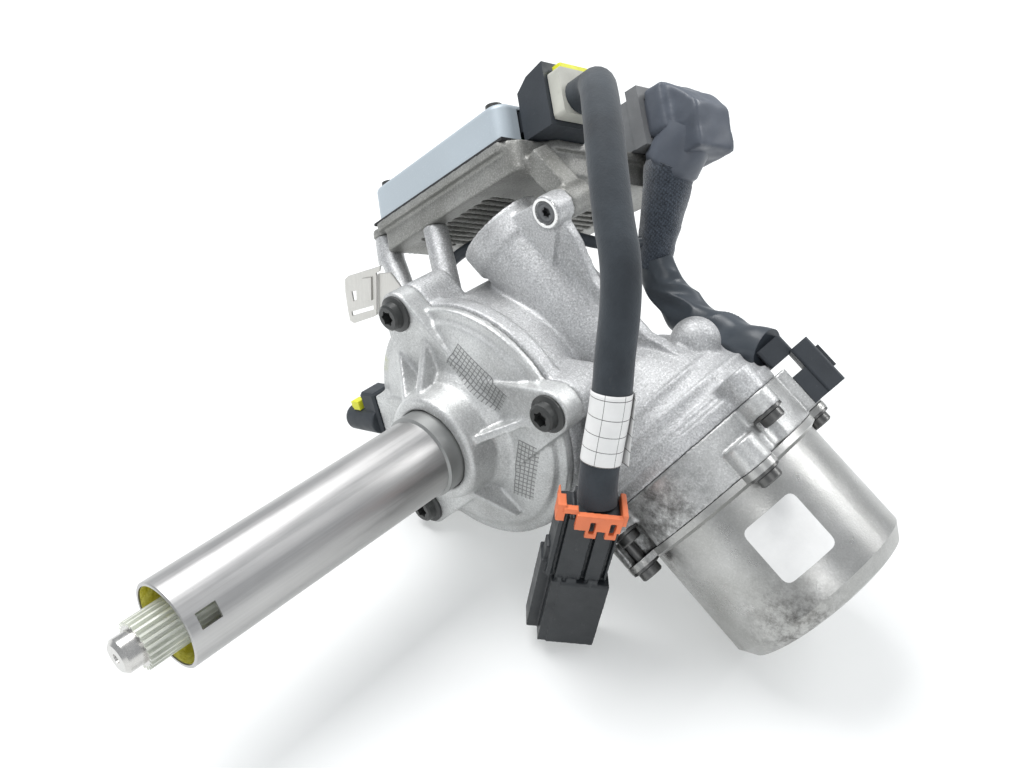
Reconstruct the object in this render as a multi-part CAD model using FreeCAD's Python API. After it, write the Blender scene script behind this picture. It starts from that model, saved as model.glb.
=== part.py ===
import FreeCAD, Part
import math
import os

os.makedirs("parts", exist_ok=True)

Vector = FreeCAD.Vector
Rotation = FreeCAD.Rotation
Placement = FreeCAD.Placement

# Column assist unit for an electric power steering.
# The unit is drawn upright, with the column axis along Y and the worm and motor axis along X,
# then rolled about the column axis until the can's end and the lowest bolt ear share one level.
# The origin is on the column axis, in the middle of the tube's clamping length.
# While the parts are drawn, the plane of the worm is at y = 0.

# Clearances
running = 0.05
gap = 0.3
loose = 0.5

# Worm drive
gear_module = 2.18
wheel_teeth = 41
worm_starts = 2
worm_pitch_r = 9.01
pressure_angle = math.radians(20)
wheel_width = 18.0
worm_half_length = 19.0
mesh_backlash = 0.9
rim_depth = 12.0
wheel_pitch_r = wheel_teeth * gear_module / 2
wheel_tip_r = wheel_pitch_r + gear_module
wheel_root_r = wheel_pitch_r - 1.2 * gear_module
worm_tip_r = worm_pitch_r + gear_module
worm_root_r = worm_pitch_r - 1.2 * gear_module
worm_lead = math.pi * gear_module * worm_starts
lead_slope = worm_lead / (2 * math.pi * worm_pitch_r)
centre_distance = wheel_pitch_r + worm_pitch_r

# Column shafts and bearings
shaft_bearing_r = 10.0
shaft_bearing_outer_r = 21.0
shaft_bearing_width = 12.0
race_wall = 3.2
shield = 1.0
torsion_r = 3.25
torsion_end_r = 4.5
torsion_pin_r = 1.5
nose_r = 8.0
sensor_hub_r = 13.0
spline_teeth = 24
spline_tip_r = 9.6
spline_root_r = 8.4
spline_coat = 0.8
nose_tip_r = 7.3
nose_length = 8.0
nose_chamfer = 1.5
centre_hole_r = 2.0
coat_end_y = -234.0
coat_length = 84.0
wheel_seat_r = 12.0
output_length_y = 80.0
output_spline_length = 26.0
output_spline_r = 9.0

# Column tube
tube_r = 19.0
tube_wall = 1.5
tube_mouth_y = -221.0
origin_y = -150.0
collar_r = 20.3
collar_proud = 8.5
window_length = 9.0
window_width = 7.0
window_inset = 5.0
window_angle = 62.0

# Front cover
boss_face_y = -77.3
boss_r = 26.4
rim_front_y = -50.8
joint_y = -46.5
cover_wall = 5.0
rim_overlap = 10.0
dish_y = -57.0
dish_r = 31.0
tube_seat_depth = 10.0
sensor_hub_outer_r = 30.0
rib_thickness = 4.0
rib_angles = (177.0, 149.0, 63.0, -12.0, -100.0)
rib_outer_r = 49.0
rib_top_inset = 5.0

# Cover bolts
bolt_circle_r = 63.4
bolt_angles = (160.3, 65.3, -79.6)
bolt_shank_r = 4.0
bolt_flange_r = 8.9
bolt_head_r = 6.4
bolt_head_height = 6.2
bolt_flange_height = 2.0
bolt_grip = 16.0
ear_r = 10.5
ear_seat_y = -57.5
ear_root_r = 30.0
ear_depth = 16.0
foot_end_y = 22.0

# Gear housing
wheel_gap = 3.6
drum_wall = 6.5
drum_flange_depth = 8.0
drum_back_y = 20.0
snout_wall = 6.0
snout_end_y = 46.0
seal_depth = 6.0
worm_bearing_r = 7.5
worm_bearing_outer_r = 17.5
worm_bearing_width = 11.0
worm_wall = 5.0
worm_bearing_x = 40.0
end_plug_depth = 11.0
worm_bore_extra = 2.3
collar_length = 13.0
bell_start_x = 28.0
bell_face_x = 77.3
bell_bore_r = 38.0
flange_r = 48.7
flange_depth = 8.0
ring_height = 1.3
ring_width = 2.2
ring_places = (0.45, 0.62, 0.78)

# Top lug
lug_x = -43.0
lug_above_worm = 38.5
lug_r = 7.8
lug_front_y = -12.0
lug_split_y = 0.0
lug_back_y = 15.0
lug_screw_r = 5.2
lug_web_half = 5.0
spine_width = 6.0
spine_rise = 4.0
dome_x = 42.5
dome_y = 12.0
dome_rise = 32.5
dome_r = 11.5

# Motor
adapter_length = 22.7
can_r = 45.7
can_wall = 2.5
can_length = 58.5
can_end_length = 7.5
can_end_r = 39.0
can_flange_depth = 3.2
lug_circle_r = 54.0
motor_lug_r = 7.4
motor_screw_r = 3.0
motor_head_r = 6.3
motor_head_height = 5.6
adapter_lug_depth = 8.6
adapter_lug_angles = (99.0, 199.0, 319.0)
motor_lug_angles = (120.0, 208.0, 28.0, 300.0)
rotor_r = 22.5
rotor_length = 42.0
rotor_shaft_r = 7.5
air_gap = 0.8
stator_outer_r = can_r - can_wall
stator_length = 34.0
stator_slots = 12
winding_depth = 7.0
rotor_start_x = 106.0

# Coupling
coupling_r = 16.0
coupling_disc = 6.0
jaw_length = 9.0
jaw_angle = 40.0
jaw_inner_r = 7.0
coupling_start_x = 57.0

# Control unit, drawn flat and then set on its corner point
unit_yaw = -70.0
unit_tilt = -24.5
unit_corner_clear_x = 23.9
unit_corner_rise = 38.2
unit_corner_y = 0.5
unit_length = 118.0
unit_width = 114.0
base_flange = 4.5
base_depth = 16.0
base_inset = 3.5
shelf_reach = 8.0
shelf_start = 16.0
corner_r = 9.0
fin_count = 11
fin_thickness = 1.8
fin_pitch = 6.1
fin_depth = 8.0
fin_field_start = 30.0
fin_field_edge = 13.0
lid_height = 20.0
lid_wall = 1.2
lid_inset = 1.5
lid_corner_r = 8.0
lid_edge_r = 3.0
board_thickness = 1.6
board_lift = 4.0
capacitor_inset = 28.0
capacitor_r = 5.0
capacitor_height = 11.0
foot_inset = 14.0

# Connectors on the control unit, along its width
power_start = 14.0
power_width = 31.0
power_reach = 20.0
power_height = 31.0
power_back_height = 24.0
header_wall = 2.6
plug_proud = 8.0
signal_start = 77.0
signal_width = 35.0
signal_reach = 20.0
signal_height = 30.0
lock_thickness = 2.6

# Sensor connector, which leaves the cover between its rim and its face
sensor_angle = 229.0
sensor_plug_y = -50.0
sensor_core_half = 2.2
sensor_core_width = 13.0
socket_start_r = 61.6
socket_reach = 11.0
socket_half = 7.0
socket_width = 23.0
sensor_plug_reach = 14.0
sensor_plug_width = 21.0
sensor_boot_r = 5.5
sensor_boot_length = 6.0

# Arms of the housing that carry the control unit
arm_r = 6.5
arm_boss_r = 7.5
arm_boss_depth = 15.0
outer_arm_foot = (-52.0, -22.0, -26.0)
inner_arm_head = (-75.0, 10.0)
inner_arm_foot = (-54.0, -18.0, 10.0)
ear_screw_r = 2.9
ear_screw_head_r = 5.0

# Motor plug
terminal_angle = 47.0
seat_top_r = 53.2
seat_width = 20.0
plug_step_r = 60.5
plug_top_r = 70.0
plug_half_width = 10.0
plug_left_x = 73.0
plug_right_x = 98.0
neck_left_x = 64.0
neck_low_r = 49.6
neck_top_r = 62.5
neck_side_low = -17.0
neck_side_high = 2.0

# Cords
loom_r = 8.25
tape_r = 12.0
sleeve_r = 10.0
wire_r = 3.2

# Connector at the loose end of the loom
connector_top = (69.4, -71.0, 59.1)
connector_foot = (102.6, -73.0, -18.9)
connector_side = (0.88, 0.30, 0.36)
connector_width = 27.0
connector_depth = 17.0
connector_back = 13.0
shroud_start = 40.0
shroud_wall = 2.2
connector_mouth_depth = 16.0


def turned(profile, origin=Vector(0, 0, 0), axis=Vector(0, 1, 0), radial=Vector(1, 0, 0)):
    """Turn a list of (radius, station) points about an axis."""
    points = [origin + radial * r + axis * s for r, s in profile]
    return Part.Face(Part.makePolygon(points + [points[0]])).revolve(origin, axis, 360)


def on_column(profile):
    return turned(profile)


def on_worm(profile):
    return turned(profile, Vector(0, 0, centre_distance), Vector(1, 0, 0), Vector(0, 0, 1))


def washer(inner, outer, start, end, turn=on_column):
    return turn([(inner, start), (outer, start), (outer, end), (inner, end)])


def prism(points, direction):
    return Part.Face(Part.makePolygon(points + [points[0]])).extrude(direction)


def around_column(shape, degrees):
    """Turn a copy about Y, so that 0 lies on +X and 90 on +Z."""
    copy = shape.copy()
    copy.rotate(Vector(0, 0, 0), Vector(0, 1, 0), -degrees)
    return copy


def around_worm(shape, degrees):
    """Turn a copy about the worm axis, so that 0 lies on +Y and 90 on +Z."""
    copy = shape.copy()
    copy.rotate(Vector(0, 0, centre_distance), Vector(1, 0, 0), degrees)
    return copy


def joined(first, *others):
    return first.fuse(list(others)).removeSplitter()


def rounded(shape, radius, direction, low=-1e9, high=1e9):
    """Round the straight edges that run along a direction and lie between two heights."""
    edges = []
    for edge in shape.Edges:
        if not isinstance(edge.Curve, Part.Line):
            continue
        along = edge.tangentAt(edge.FirstParameter)
        height = edge.CenterOfMass.z
        if abs(abs(along.dot(direction)) - 1) < 1e-6 and low <= height <= high:
            edges.append(edge)
    return shape.makeFillet(radius, edges)


def star_recess(origin, axis, radial, radius, depth):
    """Six-lobed socket for a screw head."""
    side = axis.cross(radial)
    points = []
    for step in range(12):
        angle = math.radians(30 * step)
        reach = radius if step % 2 == 0 else radius * 0.74
        points.append(origin + radial * (reach * math.cos(angle)) + side * (reach * math.sin(angle)))
    return prism(points, axis * depth)


left_bearing_x = -worm_bearing_x - worm_bearing_width
worm_open_x = left_bearing_x - end_plug_depth


# Control unit, in its own flat frame: X along the length, Y along the width, Z through the lid
unit_corner = Vector(worm_open_x - unit_corner_clear_x, unit_corner_y, centre_distance + unit_corner_rise)
unit_turn = Rotation(Vector(0, 1, 0), unit_yaw).multiply(Rotation(Vector(1, 0, 0), unit_tilt))
unit_place = Placement(unit_corner, unit_turn)


def on_unit(shape):
    copy = shape.copy()
    copy.Placement = unit_place.multiply(copy.Placement)
    return copy


def block(x0, y0, z0, x1, y1, z1):
    return Part.makeBox(x1 - x0, y1 - y0, z1 - z0, Vector(x0, y0, z0))


ear_pad_r = 8.0
unit_ear_places = ((-unit_length - 4, 12.0), (-unit_length - 4, unit_width - 14))


# Worm shaft and worm wheel
def involute(angle):
    return math.tan(angle) - angle


def wheel_space_half_angle(radius):
    """Half of the angle between two wheel teeth at a radius."""
    base_r = wheel_pitch_r * math.cos(pressure_angle)
    at_radius = math.acos(min(1.0, base_r / radius))
    tooth = (math.pi * gear_module - mesh_backlash) / (4 * wheel_pitch_r)
    tooth += involute(pressure_angle) - involute(at_radius)
    return math.pi / wheel_teeth - tooth


def make_worm_wheel():
    blank = washer(wheel_root_r - rim_depth / 2, wheel_tip_r, -wheel_width / 2, wheel_width / 2)
    radii = [wheel_root_r, wheel_pitch_r - 0.6, wheel_pitch_r + 0.9, wheel_tip_r]
    angles = [wheel_space_half_angle(r) for r in radii]
    radii.append(wheel_tip_r + 1.0)
    angles.append(angles[-1])
    over = wheel_width / 2 + 1
    right = [Vector(r * math.sin(a), 0, r * math.cos(a)) for r, a in zip(radii, angles)]
    left = [Vector(-p.x, 0, p.z) for p in reversed(right)]
    slant = Vector(over * lead_slope, over, 0)
    space = prism([p - slant for p in right + left], slant * 2)
    spaces = [around_column(space, 360.0 * k / wheel_teeth) for k in range(wheel_teeth)]
    return blank.cut(spaces)


def worm_thread(start):
    """One thread of the worm, along Z, passing the +X side at z = 0 for the first start."""
    half = (math.pi * gear_module - mesh_backlash) / 4
    slope = math.tan(pressure_angle)
    base = worm_root_r - 0.3
    wide = half + (worm_pitch_r - base) * slope
    narrow = half - (worm_tip_r - worm_pitch_r) * slope
    profile = Part.makePolygon([
        Vector(base, 0, -wide),
        Vector(worm_tip_r, 0, -narrow),
        Vector(worm_tip_r, 0, narrow),
        Vector(base, 0, wide),
        Vector(base, 0, -wide),
    ])
    helix = Part.makeHelix(worm_lead, 2 * worm_half_length, worm_pitch_r)
    thread = Part.Wire(helix.Edges).makePipeShell([profile], True, True)
    thread.translate(Vector(0, 0, -worm_half_length))
    turn = -360 * worm_half_length / worm_lead + 360 * start / worm_starts
    thread.rotate(Vector(0, 0, 0), Vector(0, 0, 1), turn)
    return thread


def make_worm_shaft():
    inner_x = worm_bearing_x
    outer_x = worm_bearing_x + worm_bearing_width
    neck = worm_root_r + 1.6
    core = turned([
        (0, -outer_x), (worm_bearing_r, -outer_x), (worm_bearing_r, -inner_x),
        (neck, -inner_x), (worm_root_r, -worm_half_length - 6),
        (worm_root_r, worm_half_length + 6), (neck, inner_x), (worm_bearing_r, inner_x),
        (worm_bearing_r, coupling_start_x + coupling_disc), (0, coupling_start_x + coupling_disc),
    ], axis=Vector(0, 0, 1))
    shaft = core.fuse([worm_thread(k) for k in range(worm_starts)])
    shaft.rotate(Vector(0, 0, 0), Vector(0, 1, 0), 90)
    shaft.translate(Vector(0, 0, centre_distance))
    return shaft


def make_wheel_hub():
    outer = wheel_root_r - rim_depth / 2
    half = wheel_width / 2
    web = half * 0.55
    hub = on_column([
        (wheel_seat_r, -half - 2), (wheel_seat_r + 5, -half - 2), (wheel_seat_r + 5, -web),
        (outer - 4, -web), (outer - 4, -half), (outer, -half), (outer, half), (outer - 4, half),
        (outer - 4, web), (wheel_seat_r + 5, web), (wheel_seat_r + 5, half), (wheel_seat_r, half),
    ])
    hole = Part.makeCylinder(3.2, wheel_width, Vector(23.5, -half, 0), Vector(0, 1, 0))
    return hub.cut([around_column(hole, 60 * k) for k in range(6)])


# Ball bearings, closed by shields
def bearing_outer(bore_r, outer_r, start, width, turn):
    return turn([
        (outer_r - race_wall, start + shield), (bore_r + race_wall + gap, start + shield),
        (bore_r + race_wall + gap, start), (outer_r, start), (outer_r, start + width),
        (bore_r + race_wall + gap, start + width),
        (bore_r + race_wall + gap, start + width - shield),
        (outer_r - race_wall, start + width - shield),
    ])


def bearing_inner(bore_r, start, width, turn):
    return washer(bore_r, bore_r + race_wall, start, start + width, turn)


input_bearing_y = boss_face_y + tube_seat_depth + 2
sensor_start_y = input_bearing_y + shaft_bearing_width + gap
front_bearing_y = -34.0
rear_bearing_y = drum_back_y + 2
rotor_front_x = bell_face_x + 7.7
can_start_x = bell_face_x + adapter_length
can_side_end_x = can_start_x + can_length
can_end_x = can_side_end_x + can_end_length
rotor_rear_x = can_end_x - can_wall - worm_bearing_width


# Column shafts
def splined_face(tip, root, y):
    """Face of straight-sided spline teeth, square to the column."""
    points = []
    pitch = 2 * math.pi / spline_teeth
    for tooth in range(spline_teeth):
        for reach, share in ((root, -0.32), (tip, -0.16), (tip, 0.16), (root, 0.32)):
            angle = pitch * (tooth + share)
            points.append(Vector(reach * math.cos(angle), y, reach * math.sin(angle)))
    return Part.Face(Part.makePolygon(points + [points[0]]))


hub_joint_y = sensor_start_y + 2
hub_end_y = front_bearing_y - 3
torsion_start_y = coat_end_y + coat_length + 30


def make_input_shaft():
    teeth = splined_face(spline_tip_r, spline_root_r, coat_end_y).extrude(Vector(0, coat_length, 0))
    tip_y = coat_end_y - nose_length
    body = on_column([
        (0, tip_y), (nose_tip_r - nose_chamfer, tip_y), (nose_tip_r, tip_y + nose_chamfer),
        (nose_tip_r, coat_end_y), (spline_root_r - 0.4, coat_end_y),
        (spline_root_r - 0.4, coat_end_y + coat_length), (shaft_bearing_r - 0.6, coat_end_y + coat_length),
        (shaft_bearing_r - 0.6, input_bearing_y - 4), (shaft_bearing_r, input_bearing_y - 4),
        (shaft_bearing_r, sensor_start_y - gap), (sensor_hub_r, sensor_start_y),
        (sensor_hub_r, hub_end_y), (0, hub_end_y),
    ])
    bar_room = Part.makeCylinder(torsion_r + loose, 200, Vector(0, torsion_start_y, 0), Vector(0, 1, 0))
    bar_end = Part.makeCylinder(torsion_end_r + running, 20, Vector(0, torsion_start_y, 0), Vector(0, 1, 0))
    nose_room = Part.makeCylinder(nose_r + running, 60, Vector(0, hub_joint_y, 0), Vector(0, 1, 0))
    centre = Part.makeCone(centre_hole_r, 0.6, 6, Vector(0, tip_y, 0), Vector(0, 1, 0))
    pin_hole = Part.makeCylinder(torsion_pin_r, 60, Vector(-30, torsion_start_y + 8, 0), Vector(1, 0, 0))
    return joined(teeth, body).cut([bar_room, bar_end, nose_room, centre, pin_hole])


def make_spline_sleeve():
    tip = spline_tip_r + spline_coat
    root = spline_root_r + spline_coat * 0.6
    length = Vector(0, coat_length, 0)
    outside = splined_face(tip, root, coat_end_y).extrude(length)
    return outside.cut(splined_face(spline_tip_r, spline_root_r, coat_end_y).extrude(length))


def make_torsion_bar():
    end_y = rear_bearing_y + shaft_bearing_width
    bar = on_column([
        (0, torsion_start_y), (torsion_end_r, torsion_start_y), (torsion_end_r, torsion_start_y + 14),
        (torsion_r, torsion_start_y + 18), (torsion_r, end_y - 18), (torsion_end_r, end_y - 14),
        (torsion_end_r, end_y), (0, end_y),
    ])
    slot = Part.makeBox(60, torsion_pin_r * 2 + 0.2, torsion_pin_r * 2 + 1.2)
    slot.translate(Vector(-30, torsion_start_y + 8 - torsion_pin_r - 0.1, -torsion_pin_r - 0.6))
    rear = Part.makeCylinder(torsion_pin_r, 60, Vector(-30, end_y - 7, 0), Vector(1, 0, 0))
    return bar.cut([slot, rear])


def make_output_shaft():
    end_y = output_length_y
    bearing_end = rear_bearing_y + shaft_bearing_width
    body = on_column([
        (0, hub_joint_y + gap), (nose_r, hub_joint_y + gap), (nose_r, hub_end_y + gap),
        (shaft_bearing_r, hub_end_y + gap), (shaft_bearing_r, -wheel_width / 2 - 2),
        (wheel_seat_r, -wheel_width / 2 - 2), (wheel_seat_r, wheel_width / 2),
        (shaft_bearing_r + 3.5, wheel_width / 2), (shaft_bearing_r + 3.5, rear_bearing_y),
        (shaft_bearing_r, rear_bearing_y), (shaft_bearing_r, bearing_end + seal_depth + 6),
        (output_spline_r - 1.2, bearing_end + seal_depth + 8), (output_spline_r - 1.2, end_y - 1.5),
        (output_spline_r - 2.7, end_y), (0, end_y),
    ])
    scale = output_spline_r / spline_tip_r
    teeth = splined_face(output_spline_r, spline_root_r * scale, end_y - 1.5 - output_spline_length)
    teeth = teeth.extrude(Vector(0, output_spline_length, 0))
    room = Part.makeCylinder(torsion_r + loose, 300, Vector(0, -200, 0), Vector(0, 1, 0))
    room = room.common(Part.makeBox(60, bearing_end - 14 + 200, 60, Vector(-30, -200, -30)))
    seat = Part.makeCylinder(torsion_end_r, 14, Vector(0, bearing_end - 14, 0), Vector(0, 1, 0))
    flare = Part.makeCone(torsion_r + loose, torsion_end_r + 0.2, 4.2,
                          Vector(0, bearing_end - 18.2, 0), Vector(0, 1, 0))
    pin = Part.makeCylinder(torsion_pin_r, 60, Vector(-30, bearing_end - 7, 0), Vector(1, 0, 0))
    bolt_notch = Part.makeCylinder(4.2, 40, Vector(-20, end_y - 13, output_spline_r + 2.4), Vector(1, 0, 0))
    return joined(body, teeth).cut([room, seat, flare, pin, bolt_notch])


def make_input_pin():
    reach = shaft_bearing_r - 0.8
    return Part.makeCylinder(torsion_pin_r, 2 * reach, Vector(-reach, torsion_start_y + 8, 0),
                             Vector(1, 0, 0))


def make_output_pin():
    reach = shaft_bearing_r - 0.2
    y = rear_bearing_y + shaft_bearing_width - 7
    return Part.makeCylinder(torsion_pin_r, 2 * reach, Vector(-reach, y, 0), Vector(1, 0, 0))


# Torque sensor
sensor_ring_r = sensor_hub_r + 3.5
sensor_cup_r = sensor_ring_r + 4.5
sensor_body_r = sensor_hub_outer_r - 4.0
sensor_end_y = front_bearing_y - 1.2


def make_sensor_magnet():
    return washer(sensor_hub_r, sensor_ring_r, sensor_start_y + 0.8, hub_end_y)


def make_sensor_cup():
    """Toothed flux cup on the output shaft, around the magnet."""
    cup = on_column([
        (sensor_ring_r + 1.2, sensor_start_y + 1.2), (sensor_cup_r, sensor_start_y + 1.2),
        (sensor_cup_r, sensor_end_y), (shaft_bearing_r, sensor_end_y),
        (shaft_bearing_r, hub_end_y + 0.8), (sensor_ring_r + 1.2, hub_end_y + 0.8),
    ])
    notch = Part.makeBox(12, 5, 3, Vector(sensor_ring_r, sensor_start_y, -1.5))
    return cup.cut([around_column(notch, 30 * k) for k in range(12)])


def make_sensor_body():
    return on_column([
        (sensor_cup_r + loose, sensor_start_y + 0.4), (sensor_body_r, sensor_start_y + 0.4),
        (sensor_body_r, sensor_end_y - 0.6), (sensor_cup_r + loose, sensor_end_y - 0.6),
    ])


def along_sensor(start, length, width, low_y, high_y):
    """Block that points out of the cover's lower left flank."""
    shape = Part.makeBox(length, high_y - low_y, width, Vector(start, low_y, -width / 2))
    return around_column(shape, sensor_angle)


def sensor_core(extra):
    """Tongue from the sensor out through the cover."""
    half = sensor_core_half + extra
    return along_sensor(sensor_body_r - extra, socket_start_r - sensor_body_r + 1,
                        sensor_core_width + 2 * extra,
                        sensor_plug_y - half, sensor_plug_y + half)


# Column tube
def make_column_tube():
    inner = tube_r - tube_wall
    seat_y = boss_face_y + tube_seat_depth
    tube = on_column([
        (inner, tube_mouth_y), (tube_r - 0.4, tube_mouth_y), (tube_r, tube_mouth_y + 0.4),
        (tube_r, boss_face_y - collar_proud), (collar_r, boss_face_y - collar_proud + 0.8),
        (collar_r, seat_y), (inner, seat_y),
    ])
    window = Part.makeBox(tube_r, window_length, window_width,
                          Vector(tube_r / 2, tube_mouth_y + window_inset, -window_width / 2))
    return tube.cut(around_column(window, window_angle))


# Front cover
cavity_r = wheel_tip_r + wheel_gap
cover_r = cavity_r + rim_overlap - 0.5
drum_flange_r = cover_r + 1.2


def ear_shape(start_y, end_y, root_r=ear_root_r):
    """Lobe that runs from the drum out to a bolt, along +X."""
    lean = math.asin((root_r - ear_r) / bolt_circle_r)
    tall = math.sin(math.pi / 2 - lean)
    side = math.cos(math.pi / 2 - lean)
    points = [
        Vector(root_r * side, start_y, root_r * tall),
        Vector(bolt_circle_r + ear_r * side, start_y, ear_r * tall),
        Vector(bolt_circle_r + ear_r * side, start_y, -ear_r * tall),
        Vector(root_r * side, start_y, -root_r * tall),
    ]
    length = Vector(0, end_y - start_y, 0)
    end = Part.makeCylinder(ear_r, end_y - start_y, Vector(bolt_circle_r, start_y, 0), Vector(0, 1, 0))
    return joined(prism(points, length), end)


def make_front_cover():
    outside = on_column([
        (0, boss_face_y), (boss_r - 1.5, boss_face_y), (boss_r, boss_face_y + 1.5),
        (boss_r + 1.5, dish_y - 6), (dish_r + 2.5, dish_y), (cover_r - 7, rim_front_y - 2.4),
        (cover_r - 4.5, rim_front_y), (cover_r, rim_front_y), (cover_r, joint_y),
        (cavity_r - gap, joint_y), (cavity_r - gap, joint_y + 4), (sensor_hub_outer_r + 6, joint_y + 4),
        (sensor_hub_outer_r, joint_y + 9), (sensor_hub_outer_r, front_bearing_y + shaft_bearing_width),
        (0, front_bearing_y + shaft_bearing_width),
    ])
    ears = [around_column(ear_shape(ear_seat_y, joint_y), a) for a in bolt_angles]
    rib_low = dish_y + 3
    rib = prism([
        Vector(boss_r - 2, boss_face_y + rib_top_inset, -rib_thickness / 2),
        Vector(boss_r + 1, boss_face_y + rib_top_inset, -rib_thickness / 2),
        Vector(rib_outer_r, dish_y - 0.5, -rib_thickness / 2),
        Vector(rib_outer_r, rib_low, -rib_thickness / 2),
        Vector(boss_r - 2, rib_low, -rib_thickness / 2),
    ], Vector(0, 0, rib_thickness))
    ribs = [around_column(rib, a) for a in rib_angles]
    inside_r = cavity_r - cover_wall - 2
    hollow = on_column([
        (sensor_hub_outer_r + 6, joint_y + 5), (dish_r + 5, dish_y + cover_wall),
        (inside_r - 4, dish_y + cover_wall + 2), (inside_r, joint_y + 5),
    ])
    seat_y = boss_face_y + tube_seat_depth
    bore = on_column([
        (0, boss_face_y - 1), (collar_r + gap, boss_face_y - 1), (collar_r + gap, boss_face_y + 1.5),
        (collar_r, boss_face_y + 1.6), (collar_r, seat_y), (tube_r - tube_wall - 1, seat_y),
        (tube_r - tube_wall - 1, input_bearing_y), (shaft_bearing_outer_r, input_bearing_y),
        (shaft_bearing_outer_r, sensor_start_y - gap), (sensor_body_r, sensor_start_y - gap),
        (sensor_body_r, sensor_end_y), (shaft_bearing_outer_r, sensor_end_y),
        (shaft_bearing_outer_r, front_bearing_y + shaft_bearing_width + 1),
        (0, front_bearing_y + shaft_bearing_width + 1),
    ])
    holes = []
    for angle in bolt_angles:
        hole = Part.makeCylinder(bolt_shank_r + loose, 30, Vector(bolt_circle_r, ear_seat_y - 5, 0),
                                 Vector(0, 1, 0))
        holes.append(around_column(hole, angle))
    port = along_sensor(boss_r, cover_r - boss_r, sensor_core_width + 9, sensor_plug_y - 6.5, joint_y - 0.5)
    return joined(outside, *ears, *ribs, port).cut([hollow, bore, sensor_core(gap)] + holes)


def make_cover_bolts():
    bolts = []
    for angle in bolt_angles:
        x = bolt_circle_r
        flange_y = ear_seat_y - bolt_flange_height
        top_y = ear_seat_y - bolt_head_height
        bolt = turned([
            (0, ear_seat_y + bolt_grip + 8), (bolt_shank_r, ear_seat_y + bolt_grip + 8),
            (bolt_shank_r, ear_seat_y), (bolt_flange_r, ear_seat_y), (bolt_flange_r, flange_y + 0.8),
            (bolt_head_r + 0.4, flange_y), (bolt_head_r, top_y + 0.8), (bolt_head_r - 1, top_y), (0, top_y),
        ], Vector(x, 0, 0))
        recess = star_recess(Vector(x, top_y, 0), Vector(0, 1, 0), Vector(1, 0, 0), 3.9, 4.0)
        bolts.append(around_column(bolt.cut(recess), angle))
    return Part.makeCompound(bolts)


# Gear housing
worm_outer_r = worm_bearing_outer_r + worm_wall
worm_bore_r = worm_tip_r + worm_bore_extra


def make_bell():
    span = bell_face_x - bell_start_x
    body_end = bell_face_x - flange_depth

    def bell_r(share):
        return worm_outer_r + (flange_r - 3 - worm_outer_r) * math.sin(share * math.pi / 2) ** 0.8

    profile = [(0, bell_start_x)]
    for share in (0.0, 0.12, 0.25, 0.4, 0.6, 0.8):
        profile.append((bell_r(share), bell_start_x + share * span))
    profile += [(flange_r - 3, body_end), (flange_r, body_end + 1.5), (flange_r, bell_face_x),
                (0, bell_face_x)]
    rings = []
    for share in ring_places:
        x = bell_start_x + share * span
        rings.append(washer(1, bell_r(share) + ring_height, x, x + ring_width, on_worm))
    return joined(on_worm(profile), *rings)


def worm_lug(angle, start_x, end_x, radius=motor_lug_r):
    """Round lug on the motor's flanges, with a web down to the flange."""
    lug = Part.makeCylinder(radius, end_x - start_x, Vector(start_x, lug_circle_r, centre_distance),
                            Vector(1, 0, 0))
    web = Part.makeBox(end_x - start_x, lug_circle_r - can_r + 4, 2 * radius,
                       Vector(start_x, can_r - 4, centre_distance - radius))
    return around_worm(joined(lug, web), angle)


def strut(start, end, radius):
    """Round bar between two points."""
    return Part.makeCylinder(radius, start.distanceToPoint(end), start, end - start)


def make_arms():
    """Arms from the drum's flank to the control unit's ear and underside."""
    boss_x, boss_y = unit_ear_places[0]
    boss = on_unit(Part.makeCylinder(arm_boss_r, arm_boss_depth,
                                     Vector(boss_x, boss_y, -base_flange - arm_boss_depth)))
    boss_low = unit_place.multVec(Vector(boss_x, boss_y, -base_flange - arm_boss_depth + arm_r))
    outer = strut(Vector(*outer_arm_foot), boss_low, arm_r)
    head = unit_place.multVec(Vector(inner_arm_head[0], inner_arm_head[1], -base_depth + 6))
    inner = strut(Vector(*inner_arm_foot), head, arm_r)
    inner = inner.cut(on_unit(block(-300, -300, -base_depth, 300, 300, 300)))
    outer = outer.cut(on_unit(block(-unit_length - 4, -300, -base_depth - gap, 300, 300, 300)))
    hole = on_unit(Part.makeCylinder(ear_screw_r, 11, Vector(boss_x, boss_y, -base_flange - 11)))
    return [boss.fuse(outer).cut(hole), inner]


def make_ear_screw():
    x, y = unit_ear_places[0]
    head = Part.makeCylinder(ear_screw_head_r, 3.6, Vector(x, y, 0))
    shank = Part.makeCylinder(ear_screw_r, 10 + base_flange, Vector(x, y, -base_flange - 10))
    recess = star_recess(Vector(x, y, 3.6), Vector(0, 0, -1), Vector(1, 0, 0), 2.8, 2.4)
    return on_unit(head.fuse(shank).cut(recess))


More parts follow.
